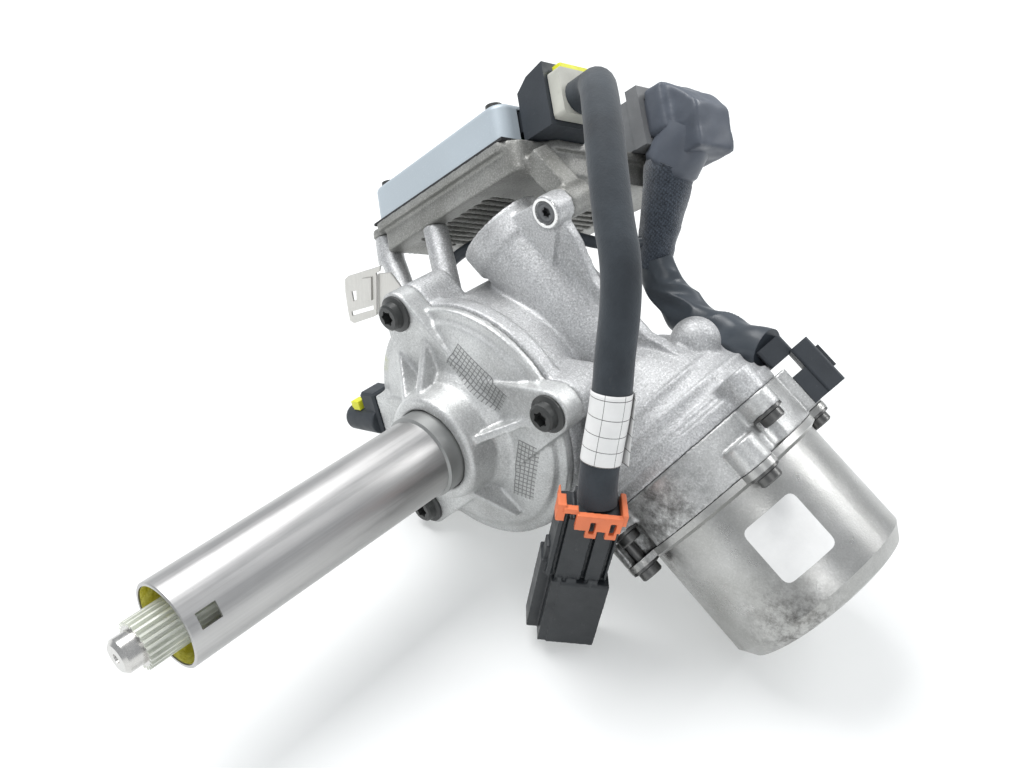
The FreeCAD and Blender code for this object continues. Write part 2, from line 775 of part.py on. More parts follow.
def make_gear_housing():
    body_r = cavity_r + drum_wall
    snout_r = shaft_bearing_outer_r + snout_wall
    drum = on_column([
        (0, joint_y), (drum_flange_r, joint_y), (drum_flange_r, joint_y + drum_flange_depth),
        (body_r, joint_y + drum_flange_depth + 3), (body_r, drum_back_y - 6), (body_r - 6, drum_back_y),
        (snout_r + 4, drum_back_y + 3), (snout_r, drum_back_y + 8), (snout_r, snout_end_y - 1.5),
        (snout_r - 1.5, snout_end_y), (0, snout_end_y),
    ])
    ears = []
    for angle in bolt_angles:
        end_y = foot_end_y if angle == bolt_angles[-1] else joint_y + ear_depth + 6
        ears.append(around_column(ear_shape(joint_y, end_y), angle))
    neck = washer(0, worm_outer_r - 1.6, worm_open_x + collar_length, bell_start_x + 2, on_worm)
    collar = washer(0, worm_outer_r, worm_open_x, worm_open_x + collar_length, on_worm)
    lug_z = centre_distance + lug_above_worm
    lug_length = lug_split_y - lug_front_y
    top_lug = Part.makeCylinder(lug_r, lug_length, Vector(lug_x, lug_front_y, lug_z), Vector(0, 1, 0))
    foot_z = centre_distance + worm_outer_r * 0.6
    web_y = lug_split_y - 2 * lug_web_half
    lug_web = prism([
        Vector(lug_x - lug_r + 0.6, web_y, lug_z - 2), Vector(lug_x + lug_r - 0.6, web_y, lug_z - 2),
        Vector(lug_x + lug_r + 11, web_y, foot_z), Vector(worm_open_x + 3, web_y, foot_z),
    ], Vector(0, 2 * lug_web_half, 0))
    spine_top = centre_distance + worm_outer_r + spine_rise
    spine_low = centre_distance + worm_outer_r * 0.5
    spine_y = lug_split_y - spine_width
    spine = prism([
        Vector(lug_x, spine_y, lug_z), Vector(lug_x + lug_r + 8, spine_y, lug_z - 3),
        Vector(-8, spine_y, spine_top), Vector(26, spine_y, spine_top + 2),
        Vector(bell_face_x - flange_depth, spine_y, centre_distance + flange_r - 2),
        Vector(bell_face_x - flange_depth, spine_y, centre_distance + bell_bore_r + 2),
        Vector(bell_start_x, spine_y, spine_low), Vector(lug_x, spine_y, spine_low),
    ], Vector(0, spine_width, 0))
    dome = Part.makeSphere(dome_r, Vector(dome_x, dome_y, centre_distance + dome_rise))
    lugs = [worm_lug(a, bell_face_x - flange_depth - 4, bell_face_x) for a in adapter_lug_angles]
    casting = joined(drum, *ears, neck, collar, make_bell(), top_lug, lug_web, spine, dome, *lugs,
                     *make_arms())

    wheel_room = washer(0, cavity_r, joint_y - 1, drum_back_y - 6)
    rear_bore = on_column([
        (0, drum_back_y - 7), (shaft_bearing_outer_r - 4, drum_back_y - 7),
        (shaft_bearing_outer_r - 4, rear_bearing_y), (shaft_bearing_outer_r, rear_bearing_y),
        (shaft_bearing_outer_r, snout_end_y + 1), (0, snout_end_y + 1),
    ])
    worm_room = on_worm([
        (0, worm_open_x - 1), (worm_bearing_outer_r + 1, worm_open_x - 1),
        (worm_bearing_outer_r + 1, left_bearing_x), (worm_bearing_outer_r, left_bearing_x),
        (worm_bearing_outer_r, -worm_bearing_x), (worm_bore_r, -worm_bearing_x),
        (worm_bore_r, worm_bearing_x), (worm_bearing_outer_r, worm_bearing_x),
        (worm_bearing_outer_r, worm_bearing_x + worm_bearing_width + 2),
        (bell_bore_r - 12, worm_bearing_x + worm_bearing_width + 3),
        (bell_bore_r, bell_face_x - flange_depth - 4), (bell_bore_r, bell_face_x + 1), (0, bell_face_x + 1),
    ])
    tapped = []
    for angle in bolt_angles:
        hole = Part.makeCylinder(bolt_shank_r, bolt_grip + 2, Vector(bolt_circle_r, joint_y - 1, 0),
                                 Vector(0, 1, 0))
        tapped.append(around_column(hole, angle))
    for angle in adapter_lug_angles:
        hole = Part.makeCylinder(motor_screw_r, 14, Vector(bell_face_x - 11, lug_circle_r, centre_distance),
                                 Vector(1, 0, 0))
        tapped.append(around_worm(hole, angle))
    screw_room = make_lug_screw()
    return casting.cut([wheel_room, rear_bore, worm_room, screw_room] + tapped)


def make_lug_screw():
    """Countersunk screw in the top lug."""
    z = centre_distance + lug_above_worm
    start = lug_front_y
    shank = lug_screw_r - 2.2
    screw = turned([
        (0, start), (lug_screw_r, start), (lug_screw_r, start + 1),
        (shank, start + 4), (shank, lug_back_y - 3), (0, lug_back_y - 3),
    ], Vector(lug_x, 0, z))
    return screw


def make_end_plug():
    """Threaded plug that closes and preloads the worm bearing."""
    plug = washer(0, worm_bearing_outer_r + 1, worm_open_x + 0.8, left_bearing_x, on_worm)
    socket_centre = Vector(worm_open_x + 0.8, 0, centre_distance)
    socket = star_recess(socket_centre, Vector(1, 0, 0), Vector(0, 0, 1), 8.0, 5.0)
    return plug.cut(socket)


# Jaw coupling between worm and motor
jaw_start_x = coupling_start_x + coupling_disc


def sector(inner, outer, start_x, end_x, middle, width):
    """Part of a ring about the worm axis."""
    origin = Vector(0, 0, centre_distance)
    points = [(inner, start_x), (outer, start_x), (outer, end_x), (inner, end_x)]
    corners = [origin + Vector(s, r, 0) for r, s in points]
    face = Part.Face(Part.makePolygon(corners + [corners[0]]))
    face.rotate(origin, Vector(1, 0, 0), middle - width / 2)
    return face.revolve(origin, Vector(1, 0, 0), width)


def make_worm_hub():
    disc = washer(worm_bearing_r, coupling_r, coupling_start_x, jaw_start_x, on_worm)
    jaws = [sector(jaw_inner_r + 2, coupling_r, jaw_start_x, jaw_start_x + jaw_length, 120 * k,
                   jaw_angle) for k in range(3)]
    return joined(disc, *jaws)


def make_motor_hub():
    start = jaw_start_x + jaw_length
    disc = washer(rotor_shaft_r, coupling_r, start, start + coupling_disc, on_worm)
    jaws = [sector(jaw_inner_r + 2, coupling_r, jaw_start_x, start, 120 * k + 60,
                   jaw_angle) for k in range(3)]
    return joined(disc, *jaws)


def make_coupling_spider():
    ring = washer(jaw_inner_r - 3, jaw_inner_r + 2, jaw_start_x + 0.3, jaw_start_x + jaw_length - 0.3,
                  on_worm)
    arm = 60 - jaw_angle
    arms = [sector(jaw_inner_r, coupling_r - 0.4, jaw_start_x + 0.3, jaw_start_x + jaw_length - 0.3,
                   30 + 60 * k, arm - 0.4)
            for k in range(6)]
    return joined(ring, *arms)


# Motor
def make_motor_adapter():
    end = can_start_x
    ring = on_worm([
        (worm_bearing_outer_r, rotor_front_x), (worm_bearing_outer_r, rotor_front_x + worm_bearing_width),
        (worm_bearing_outer_r + 4, rotor_front_x + worm_bearing_width), (can_r - can_wall - 6, end - 3),
        (can_r - can_wall, end - 3), (can_r - can_wall, end), (flange_r, end), (flange_r, bell_face_x),
        (bell_bore_r, bell_face_x), (bell_bore_r - 4, rotor_front_x - 2),
        (worm_bearing_outer_r - 4, rotor_front_x - 2),
        (worm_bearing_outer_r - 4, rotor_front_x),
    ])
    front_lugs = [worm_lug(a, bell_face_x, bell_face_x + adapter_lug_depth) for a in adapter_lug_angles]
    rear_lugs = [worm_lug(a, end - 12, end) for a in motor_lug_angles]
    seat = Part.makeBox(adapter_length - 1.4, seat_width, seat_top_r - can_r + 6,
                        Vector(bell_face_x, -seat_width / 2, centre_distance + can_r - 6))
    seat = around_worm(seat, terminal_angle - 90)
    holes = []
    for angle in adapter_lug_angles:
        hole = Part.makeCylinder(motor_screw_r + loose, 30,
                                 Vector(bell_face_x - 5, lug_circle_r, centre_distance), Vector(1, 0, 0))
        holes.append(around_worm(hole, angle))
    for angle in motor_lug_angles:
        hole = Part.makeCylinder(motor_screw_r, 11, Vector(end - 10, lug_circle_r, centre_distance),
                                 Vector(1, 0, 0))
        holes.append(around_worm(hole, angle))
    bore = washer(0, worm_bearing_outer_r + 12, rotor_front_x - 1.9, end - 4, on_worm)
    holes += head_rooms(adapter_lug_angles, bell_face_x + adapter_lug_depth)
    return joined(ring, *front_lugs, *rear_lugs, seat.cut(bore)).cut(holes)


def head_rooms(angles, seat_x):
    """Room for screw heads beside a flange or a shell."""
    room = Part.makeCylinder(motor_head_r + 0.8 + gap, 30, Vector(seat_x, lug_circle_r, centre_distance),
                             Vector(1, 0, 0))
    return [around_worm(room, angle) for angle in angles]


def flange_screws(angles, seat_x, length):
    """Flanged screws that lie along the motor axis, heads towards the can's end."""
    screws = []
    for angle in angles:
        top = seat_x + motor_head_height
        screw = turned([
            (0, seat_x - length), (motor_screw_r, seat_x - length), (motor_screw_r, seat_x),
            (motor_head_r + 0.8, seat_x), (motor_head_r + 0.8, seat_x + 1.2),
            (motor_head_r - 1, seat_x + 1.8),
            (motor_head_r - 1, top - 0.7), (motor_head_r - 1.7, top), (0, top),
        ], Vector(0, lug_circle_r, centre_distance), Vector(1, 0, 0), Vector(0, 1, 0))
        centre = Vector(top, lug_circle_r, centre_distance)
        recess = star_recess(centre, Vector(-1, 0, 0), Vector(0, 1, 0), 2.9, 3.0)
        screws.append(around_worm(screw.cut(recess), angle))
    return Part.makeCompound(screws)


def make_motor_can():
    start = can_start_x
    inner = can_r - can_wall
    can = on_worm([
        (inner, start), (can_r + 3, start), (can_r + 3, start + can_flange_depth),
        (can_r, start + can_flange_depth + 1.5),
        (can_r, can_side_end_x), (can_end_r + 2.2, can_end_x - 0.8), (can_end_r, can_end_x), (0, can_end_x),
        (0, can_end_x - can_wall), (worm_bearing_outer_r, can_end_x - can_wall),
        (worm_bearing_outer_r, rotor_rear_x), (worm_bearing_outer_r + 3, rotor_rear_x),
        (worm_bearing_outer_r + 3, can_end_x - can_wall - 2), (can_end_r - 3, can_end_x - can_wall - 1),
        (inner, can_side_end_x - 1),
    ])
    lugs = [worm_lug(a, start, start + can_flange_depth) for a in motor_lug_angles]
    bore = washer(0, inner, start - 1, start + 12, on_worm)
    lugs = [lug.cut(bore) for lug in lugs]
    holes = []
    for angle in motor_lug_angles:
        hole = Part.makeCylinder(motor_screw_r + loose, 12, Vector(start - 2, lug_circle_r, centre_distance),
                                 Vector(1, 0, 0))
        holes.append(around_worm(hole, angle))
    return joined(can, *lugs).cut(holes + head_rooms(motor_lug_angles, start + can_flange_depth))


def make_rotor_shaft():
    start = jaw_start_x + jaw_length
    end = rotor_rear_x + worm_bearing_width - 0.5
    return on_worm([
        (0, start), (rotor_shaft_r, start), (rotor_shaft_r, rotor_front_x + worm_bearing_width),
        (rotor_shaft_r + 1.5, rotor_front_x + worm_bearing_width), (rotor_shaft_r + 1.5, rotor_rear_x),
        (rotor_shaft_r, rotor_rear_x), (rotor_shaft_r, end), (0, end),
    ])


def make_rotor_core():
    core = washer(rotor_shaft_r + 1.5, rotor_r - 3, rotor_start_x, rotor_start_x + rotor_length, on_worm)
    hole = Part.makeCylinder(2.0, rotor_length, Vector(rotor_start_x, 13.6, centre_distance), Vector(1, 0, 0))
    return core.cut([around_worm(hole, 60 * k) for k in range(6)])


def make_rotor_magnets():
    magnets = [sector(rotor_r - 3, rotor_r, rotor_start_x, rotor_start_x + rotor_length, 45 * k,
                      40) for k in range(8)]
    return Part.makeCompound(magnets)


stator_start_x = rotor_start_x + (rotor_length - stator_length) / 2


def make_stator_core():
    ring = washer(rotor_r + air_gap, stator_outer_r, stator_start_x, stator_start_x + stator_length, on_worm)
    slot = Part.makeBox(stator_length, 12.5, 5.5,
                        Vector(stator_start_x, rotor_r + air_gap + 2.2, centre_distance - 2.75))
    mouth = Part.makeBox(stator_length, 4, 1.6,
                         Vector(stator_start_x, rotor_r + air_gap - 1, centre_distance - 0.8))
    tool = slot.fuse(mouth)
    return ring.cut([around_worm(tool, 360.0 * k / stator_slots) for k in range(stator_slots)])


def make_windings():
    """Coil heads at both ends of the stator."""
    inner = rotor_r + air_gap + 2.0
    outer = stator_outer_r - 3
    heads = []
    for start in (stator_start_x - winding_depth, stator_start_x + stator_length):
        for k in range(stator_slots):
            head = sector(inner, outer, start, start + winding_depth, 360.0 * (k + 0.5) / stator_slots, 24)
            heads.append(head)
    return Part.makeCompound(heads)


# Control unit
def make_unit_base():
    outline = [
        Vector(-unit_length, 0, 0), Vector(0, 0, 0), Vector(0, shelf_start, 0),
        Vector(shelf_reach, shelf_start + 12, 0),
        Vector(shelf_reach, unit_width, 0), Vector(-unit_length, unit_width, 0),
    ]
    flange = rounded(prism(outline, Vector(0, 0, -base_flange)), corner_r - 2, Vector(0, 0, 1))
    body = block(-unit_length + base_inset, base_inset, -base_depth, shelf_reach - base_inset,
                 unit_width - base_inset, -1)
    body = rounded(body, corner_r - 3, Vector(0, 0, 1))
    field = block(-fin_field_start - fin_count * fin_pitch, fin_field_edge, -base_depth - 1,
                  -fin_field_start, unit_width - fin_field_edge, fin_depth - base_depth)
    base = joined(flange, body).cut(field)
    fins = []
    for k in range(fin_count):
        x = -fin_field_start - (k + 0.5) * fin_pitch
        fins.append(block(x - fin_thickness / 2, fin_field_edge - 1, -base_depth, x + fin_thickness / 2,
                          unit_width - fin_field_edge + 1, fin_depth - base_depth + 1))
    ears = []
    for x, y in unit_ear_places:
        ears.append(Part.makeCylinder(ear_pad_r, base_flange, Vector(x, y, -base_flange)))
    holes = [Part.makeCylinder(ear_screw_r + 0.4, 20, Vector(x, y, -12)) for x, y in unit_ear_places]
    tray = on_unit(joined(base, *fins, *ears).cut(holes))
    z = centre_distance + lug_above_worm
    barrel = Part.makeCylinder(lug_r, lug_back_y - lug_split_y, Vector(lug_x, lug_split_y, z),
                               Vector(0, 1, 0))
    arm = Part.makeBox(28, lug_back_y - lug_split_y - 4, 12, Vector(lug_x - 28, lug_split_y + 4, z - 6))
    arm = arm.cut(on_unit(block(-300, -300, -2, 300, 300, 300)))
    screw_hole = Part.makeCylinder(lug_screw_r - 2.2, 40, Vector(lug_x, lug_split_y - 1, z), Vector(0, 1, 0))
    return joined(tray, barrel, arm).cut(screw_hole)


def lid_outline(extra, height):
    x0 = -unit_length + lid_inset + extra
    y0 = lid_inset + extra
    box = block(x0, y0, 0, -lid_inset - extra, unit_width - lid_inset - extra, height)
    box = rounded(box, lid_corner_r - extra, Vector(0, 0, 1))
    top = [e for e in box.Edges if abs(e.BoundBox.ZMin - height) < 1e-6 and abs(e.BoundBox.ZMax - height) < 1e-6]
    return box.makeFillet(lid_edge_r - extra, top)


def make_unit_lid():
    inner = lid_outline(lid_wall, lid_height - lid_wall)
    headers = [
        block(-20, power_start - loose, -1, 5, power_start + power_width + loose, lid_height - 3),
        block(-20, signal_start - loose, -1, 5, signal_start + signal_width + loose, lid_height - 3),
    ]
    return on_unit(lid_outline(0, lid_height).cut([inner] + headers))


lid_screw_places = ((-unit_length + 9, 9.0), (-12.0, 9.0), (-unit_length + 9, unit_width - 9),
                    (-12.0, unit_width - 9))


def make_lid_screws():
    screws = []
    for x, y in lid_screw_places:
        head = Part.makeCylinder(4.2, 2.8, Vector(x, y, lid_height))
        recess = star_recess(Vector(x, y, lid_height + 2.8), Vector(0, 0, -1), Vector(1, 0, 0), 2.4, 1.8)
        screws.append(on_unit(head.cut(recess)))
    return Part.makeCompound(screws)


def make_circuit_board():
    board = block(-unit_length + 7, 7, board_lift, -7, unit_width - 7, board_lift + board_thickness)
    board = rounded(board, 5.0, Vector(0, 0, 1))
    chips = [block(-80, 30, board_lift + board_thickness, -62, 48, board_lift + board_thickness + 2),
             block(-50, 60, board_lift + board_thickness, -36, 74, board_lift + board_thickness + 2)]
    for k in range(3):
        place = Vector(-unit_length + capacitor_inset + 14 * k, unit_width - capacitor_inset,
                       board_lift + board_thickness)
        chips.append(Part.makeCylinder(capacitor_r, capacitor_height, place))
    left = -unit_length + foot_inset
    feet = [block(x - 3, y - 3, 0, x + 3, y + 3, board_lift)
            for x, y in ((left, foot_inset), (left, unit_width - foot_inset), (-16, 60))]
    return on_unit(joined(board, *chips, *feet))


def make_power_header():
    y0 = power_start
    y1 = power_start + power_width
    side = [
        Vector(lid_inset - 3 + gap + 1.5, y0, 0), Vector(power_reach, y0, 0),
        Vector(power_reach, y0, power_height),
        Vector(power_reach * 0.4, y0, power_back_height + 5),
        Vector(lid_inset - 3 + gap + 1.5, y0, power_back_height),
    ]
    shell = prism(side, Vector(0, y1 - y0, 0))
    tail = block(-18, y0 + 1, board_lift + board_thickness, 2, y1 - 1, lid_height - 4)
    cavity = block(4, y0 + header_wall, header_wall, power_reach + 1, y1 - header_wall,
                   power_height - header_wall - 4)
    return on_unit(joined(shell, tail).cut(cavity))


def make_signal_header():
    y0 = signal_start
    y1 = signal_start + signal_width
    low = block(lid_inset - 3 + gap + 1.5, y0, 0, signal_reach - 7, y1, signal_height - 4)
    high = block(signal_reach - 8, y0 - 1.5, -1.0, signal_reach, y1 + 1.5, signal_height)
    tail = block(-18, y0 + 1, board_lift + board_thickness, 2, y1 - 1, lid_height - 4)
    cavity = block(4, y0 + header_wall, header_wall, signal_reach + 1, y1 - header_wall,
                   signal_height - header_wall - 4)
    return on_unit(joined(low, high, tail).cut(cavity))


def make_loom_plug():
    y0 = power_start + header_wall + gap
    y1 = power_start + power_width - header_wall - gap
    z0 = header_wall + gap
    z1 = power_height - header_wall - 4 - gap
    nose = block(5, y0, z0, power_reach + 1, y1, z1)
    back = block(power_reach + 0.5, y0 - 1, z0 - 0.5, power_reach + plug_proud, y1 + 1, z1 + 1)
    back = rounded(back, 2.0, Vector(1, 0, 0))
    return on_unit(joined(nose, back))


def make_plug_lock():
    y0 = power_start + header_wall + 2
    y1 = power_start + power_width - header_wall - 2
    z1 = power_height - header_wall - 4 - gap + 1
    plate = block(power_reach + 1.2, y0, z1 + 0.1, power_reach + plug_proud - 1, y1,
                  z1 + 0.1 + lock_thickness)
    return on_unit(rounded(plate, 1.0, Vector(0, 0, 1)))


hood_low = -12.5
hood_side = 13.0
hood_middle = 95.0


def make_lead_plug():
    y0 = signal_start + header_wall + gap
    y1 = signal_start + signal_width - header_wall - gap
    z0 = header_wall + gap
    z1 = signal_height - header_wall - 4 - gap
    nose = block(5, y0, z0, signal_reach + 2, y1, z1)
    back = block(signal_reach + 1, y0 - 2, z0 - 1, signal_reach + 13, y1 + 3, z1 + 4)
    back = rounded(back, 2.5, Vector(1, 0, 0))
    side = [(22, 27), (33, 26), (42, 19), (49, 10), (47, hood_low), (19, hood_low), (21.5, 2)]
    hood = prism([Vector(x, hood_middle - hood_side, z) for x, z in side], Vector(0, 2 * hood_side, 0))
    hood = rounded(hood, 3.0, Vector(0, 1, 0), -5, 40)
    return on_unit(joined(nose, back, hood))


# Motor plug on the adapter's flat seat
def on_seat(x0, side0, low_r, x1, side1, high_r):
    """Block in the seat's own directions: along the motor, across it and away from it."""
    shape = Part.makeBox(x1 - x0, side1 - side0, high_r - low_r, Vector(x0, side0, centre_distance + low_r))
    return shape


def make_motor_plug():
    foot = on_seat(plug_left_x + 10, -plug_half_width + 1, seat_top_r + gap / 2, plug_right_x,
                   plug_half_width - 1, plug_step_r + 1)
    top = on_seat(plug_left_x, -plug_half_width, plug_step_r, plug_right_x, plug_half_width, plug_top_r)
    top = rounded(top, 1.5, Vector(1, 0, 0))
    neck = on_seat(neck_left_x, -neck_side_high, neck_low_r, plug_left_x + 1, -neck_side_low, neck_top_r)
    neck = rounded(neck, 1.5, Vector(1, 0, 0))
    latch = on_seat(plug_left_x + 6, -4, plug_top_r - 0.5, plug_left_x + 18, 4, plug_top_r + 2)
    plug = joined(foot, top, neck, latch)
    return around_worm(plug, terminal_angle - 90)


# Sensor connector at the cover's lower left flank
def bevelled(shape, size=1.2):
    return shape.makeChamfer(size, shape.Edges)


def make_sensor_socket():
    shell = along_sensor(socket_start_r, socket_reach, socket_width, sensor_plug_y - socket_half,
                         sensor_plug_y + socket_half)
    return joined(bevelled(shell), sensor_core(0))


def make_sensor_plug():
    start = socket_start_r + socket_reach
    low = sensor_plug_y - socket_half + 0.6
    high = sensor_plug_y + socket_half + 1.4
    body = bevelled(along_sensor(start, sensor_plug_reach, sensor_plug_width, low, high), 2.0)
    boot = Part.makeCone(sensor_boot_r + 1, sensor_boot_r, sensor_boot_length,
                         Vector(start + sensor_plug_reach / 2, high - 0.5, 0), Vector(0, 1, 0))
    return joined(body, around_column(boot, sensor_angle))


def make_sensor_lock():
    start = socket_start_r + socket_reach + 1.0
    low = sensor_plug_y - socket_half + 0.6
    return along_sensor(start, 8, 9, low - 3.0 - running, low - running)


# Steel clip bracket at the left flank
def make_clip_bracket():
    y = -42.0
    plate = prism([
        Vector(-101.8, y, -11.3), Vector(-87.6, y, 16.1), Vector(-61.0, y, 15.0), Vector(-59.0, y, 3.0),
        Vector(-76.0, y, -11.9), Vector(-87.7, y, -34.0),
    ], Vector(0, 1.5, 0))
    slot = Part.makeBox(3, 6, 11, Vector(-95.5, y - 2, -19.0))
    hole = Part.makeBox(9, 6, 3, Vector(-88.0, y - 2, -22.0))
    return plate.cut([slot, hole, parts["gear_housing"]])


# Cords: straight runs joined by tangent arcs, in the rolled frame
def cord_path(points):
    """Wire of straight runs and arcs, with each arc as large as its runs allow."""
    edges = []
    radii = []
    last = points[0]
    for before, here, after in zip(points, points[1:], points[2:]):
        first = here - before
        second = after - here
        turn = first.getAngle(second)
        reach = 0.45 * min(first.Length, second.Length)
        radius = reach / math.tan(turn / 2)
        first_unit = Vector(first).normalize()
        second_unit = Vector(second).normalize()
        start = here - first_unit * reach
        end = here + second_unit * reach
        inward = (second_unit - first_unit).normalize()
        middle = here + inward * (radius / math.cos(turn / 2) - radius)
        edges.append(Part.LineSegment(last, start).toShape())
        edges.append(Part.Arc(start, middle, end).toShape())
        radii.append(round(radius, 1))
        last = end
    edges.append(Part.LineSegment(last, points[-1]).toShape())
    return Part.Wire(edges), radii


def at_unit(x, y, z):
    return unit_place.multVec(Vector(x, y, z))


def make_cord(name, points, radius):
    path, radii = cord_path(points)
    direction = points[1] - points[0]
    section = Part.Wire([Part.makeCircle(radius, points[0], direction)])
    tube = path.makePipeShell([section], True, True)
    ideal = math.pi * radius * radius * path.Length
    print(name, "length", round(path.Length, 1), "volume ratio", round(tube.Volume / ideal, 4), "radii",
          radii)
    return tube


loom_route = [
    at_unit(power_reach + plug_proud, 26, 11), at_unit(power_reach + plug_proud + 12, 26, 11),
    Vector(-65.6, 21.6, 138.3), Vector(-55.4, 9.4, 144.1), Vector(-41.1, -5.3, 146.2),
    Vector(-25, -20, 144.5),
    Vector(-7.2, -33, 138.5), Vector(6, -41.5, 133.2), Vector(18.8, -48, 120), Vector(30.2, -54, 106.9),
    Vector(42.2, -59, 94.1), Vector(53.6, -64.5, 77.6), Vector(62.5, -69, 66.5), Vector(*connector_top),
]
tape_route = [
    at_unit(30, hood_middle, hood_low + 6.5), Vector(-25.5, 76, 88), Vector(-16.5, 71, 74),
    Vector(-9, 66.5, 63.3),
]
sleeve_route = [
    Vector(-9, 66.5, 63.3), Vector(-3, 63, 54.8), Vector(9, 58.5, 50.5), Vector(26, 55, 55),
    Vector(38, 52.5, 64), Vector(48, 49, 78), Vector(68, 43.5, 91.5),
]
boot_radius = socket_start_r + socket_reach + sensor_plug_reach / 2
boot_end = around_column(Part.Vertex(boot_radius, sensor_plug_y + socket_half + 0.9 + sensor_boot_length, 0),
                         sensor_angle).Point
sensor_route = [
    boot_end, boot_end + Vector(0, 10, 0), Vector(-56, -15, -61), Vector(-65, -3, -52), Vector(-76, 6, -35),
    Vector(-82, 11, -15), Vector(-80, 16, 5), Vector(-72, 24, 24), Vector(-58, 33, 40), Vector(-42, 40, 49),
    Vector(-30, 46, 54), Vector(-21, 54, 60), Vector(-14, 62, 67),
]


def make_lead_tape(wire):
    above = on_unit(block(-500, -500, hood_low, 500, 500, 500))
    return make_cord("lead_tape", tape_route, tape_r).cut([above, wire])


def make_lead_sleeve(tape, wire):
    beyond = Part.makeBox(100, 200, 200, Vector(neck_left_x, 0, 0))
    return make_cord("lead_sleeve", sleeve_route, sleeve_r).cut([beyond, tape, wire])


# Connector on the loom
connector_axis = Vector(*connector_foot) - Vector(*connector_top)
connector_length = connector_axis.Length
connector_place = Placement(Vector(*connector_top), Rotation(
    Vector(*connector_side), Vector(0, 0, 0), connector_axis, "ZXY"))


def on_connector(shape):
    copy = shape.copy()
    copy.Placement = connector_place.multiply(copy.Placement)
    return copy


def centred(width, depth, start, end):
    return block(-width / 2, -depth / 2, start, width / 2, depth / 2, end)


def make_loom_connector():
    back = rounded(centred(connector_width - 6, connector_depth - 1, 0, connector_back + 1), 4.0,
                   Vector(0, 0, 1))
    middle = rounded(centred(connector_width - 3, connector_depth - 2, connector_back, shroud_start + 1), 1.5,
                     Vector(0, 0, 1))
    shroud = rounded(centred(connector_width + 2, connector_depth + 2, shroud_start, connector_length), 1.5,
                     Vector(0, 0, 1))
    ribs = []
    for k in range(5):
        x = (k - 2) * (connector_width - 7) / 4
        ribs.append(block(x - 0.8, -connector_depth / 2 - 0.5, connector_back + 2, x + 0.8,
                          connector_depth / 2 + 0.5, shroud_start))
    mouth = centred(connector_width + 2 - 2 * shroud_wall, connector_depth + 2 - 2 * shroud_wall,
                    connector_length - connector_mouth_depth, connector_length + 1)
    return on_connector(joined(back, middle, shroud, *ribs).cut(mouth))


def make_connector_lock():
    """Slide that straddles the connector's back."""
    low = connector_depth / 2 - 0.5 + gap
    plate = block(-connector_width / 2, low, 2, connector_width / 2, low + 3, connector_back - 1)
    sides = [block(side * (connector_width / 2 - 1.1) - 1.1, -low, 2,
                   side * (connector_width / 2 - 1.1) + 1.1, low + 1, connector_back - 1)
             for side in (-1, 1)]
    window = centred(6, 40, 4.5, connector_back - 3)
    return on_connector(joined(plate, *sides).cut(window))


# Roll about the column that brings the can's end and the lowest bolt ear to one level
foot_angle = math.radians(bolt_angles[-1])
foot_x = bolt_circle_r * math.cos(foot_angle)
foot_z = bolt_circle_r * math.sin(foot_angle)
rise = centre_distance - can_r - foot_z
run = can_side_end_x - foot_x
roll = math.acos(-ear_r / math.hypot(rise, run)) - math.atan2(run, rise)
floor_z = foot_z * math.cos(roll) - foot_x * math.sin(roll) - ear_r
roll_place = Placement(Vector(0, -origin_y, 0), Rotation(Vector(0, 1, 0), math.degrees(roll)))


def bearing_pair(bore_r, outer_r, starts, width, turn):
    outers = Part.makeCompound([bearing_outer(bore_r, outer_r, s, width, turn) for s in starts])
    inners = Part.makeCompound([bearing_inner(bore_r, s, width, turn) for s in starts])
    return outers, inners


parts = {}
parts["column_tube"] = make_column_tube()
parts["input_shaft"] = make_input_shaft()
parts["spline_sleeve"] = make_spline_sleeve()
parts["torsion_bar"] = make_torsion_bar()
parts["input_pin"] = make_input_pin()
parts["output_pin"] = make_output_pin()
parts["output_shaft"] = make_output_shaft()
parts["wheel_hub"] = make_wheel_hub()
parts["worm_wheel"] = make_worm_wheel()
parts["worm_shaft"] = make_worm_shaft()
parts["input_bearing_outer"] = bearing_outer(
    shaft_bearing_r, shaft_bearing_outer_r, input_bearing_y, shaft_bearing_width, on_column)
parts["input_bearing_inner"] = bearing_inner(shaft_bearing_r, input_bearing_y, shaft_bearing_width, on_column)
parts["output_bearing_outers"], parts["output_bearing_inners"] = bearing_pair(
    shaft_bearing_r, shaft_bearing_outer_r, (front_bearing_y, rear_bearing_y), shaft_bearing_width, on_column)
parts["worm_bearing_outers"], parts["worm_bearing_inners"] = bearing_pair(
    worm_bearing_r, worm_bearing_outer_r, (left_bearing_x, worm_bearing_x), worm_bearing_width, on_worm)
parts["rotor_bearing_outers"], parts["rotor_bearing_inners"] = bearing_pair(
    rotor_shaft_r, worm_bearing_outer_r, (rotor_front_x, rotor_rear_x), worm_bearing_width, on_worm)
parts["sensor_magnet"] = make_sensor_magnet()
parts["sensor_cup"] = make_sensor_cup()
parts["sensor_body"] = make_sensor_body()
parts["sensor_socket"] = make_sensor_socket()
parts["sensor_plug"] = make_sensor_plug()
parts["sensor_lock"] = make_sensor_lock()
parts["front_cover"] = make_front_cover()
parts["cover_bolts"] = make_cover_bolts()
parts["gear_housing"] = make_gear_housing()
parts["lug_screw"] = make_lug_screw()
parts["end_plug"] = make_end_plug()
parts["output_seal"] = washer(
    shaft_bearing_r + gap, shaft_bearing_outer_r, snout_end_y - seal_depth, snout_end_y - 0.5)
parts["coupling_worm_hub"] = make_worm_hub()
parts["coupling_spider"] = make_coupling_spider()
parts["coupling_motor_hub"] = make_motor_hub()
parts["motor_adapter"] = make_motor_adapter()
parts["adapter_screws"] = flange_screws(adapter_lug_angles, bell_face_x + adapter_lug_depth,
                                        adapter_lug_depth + 9)
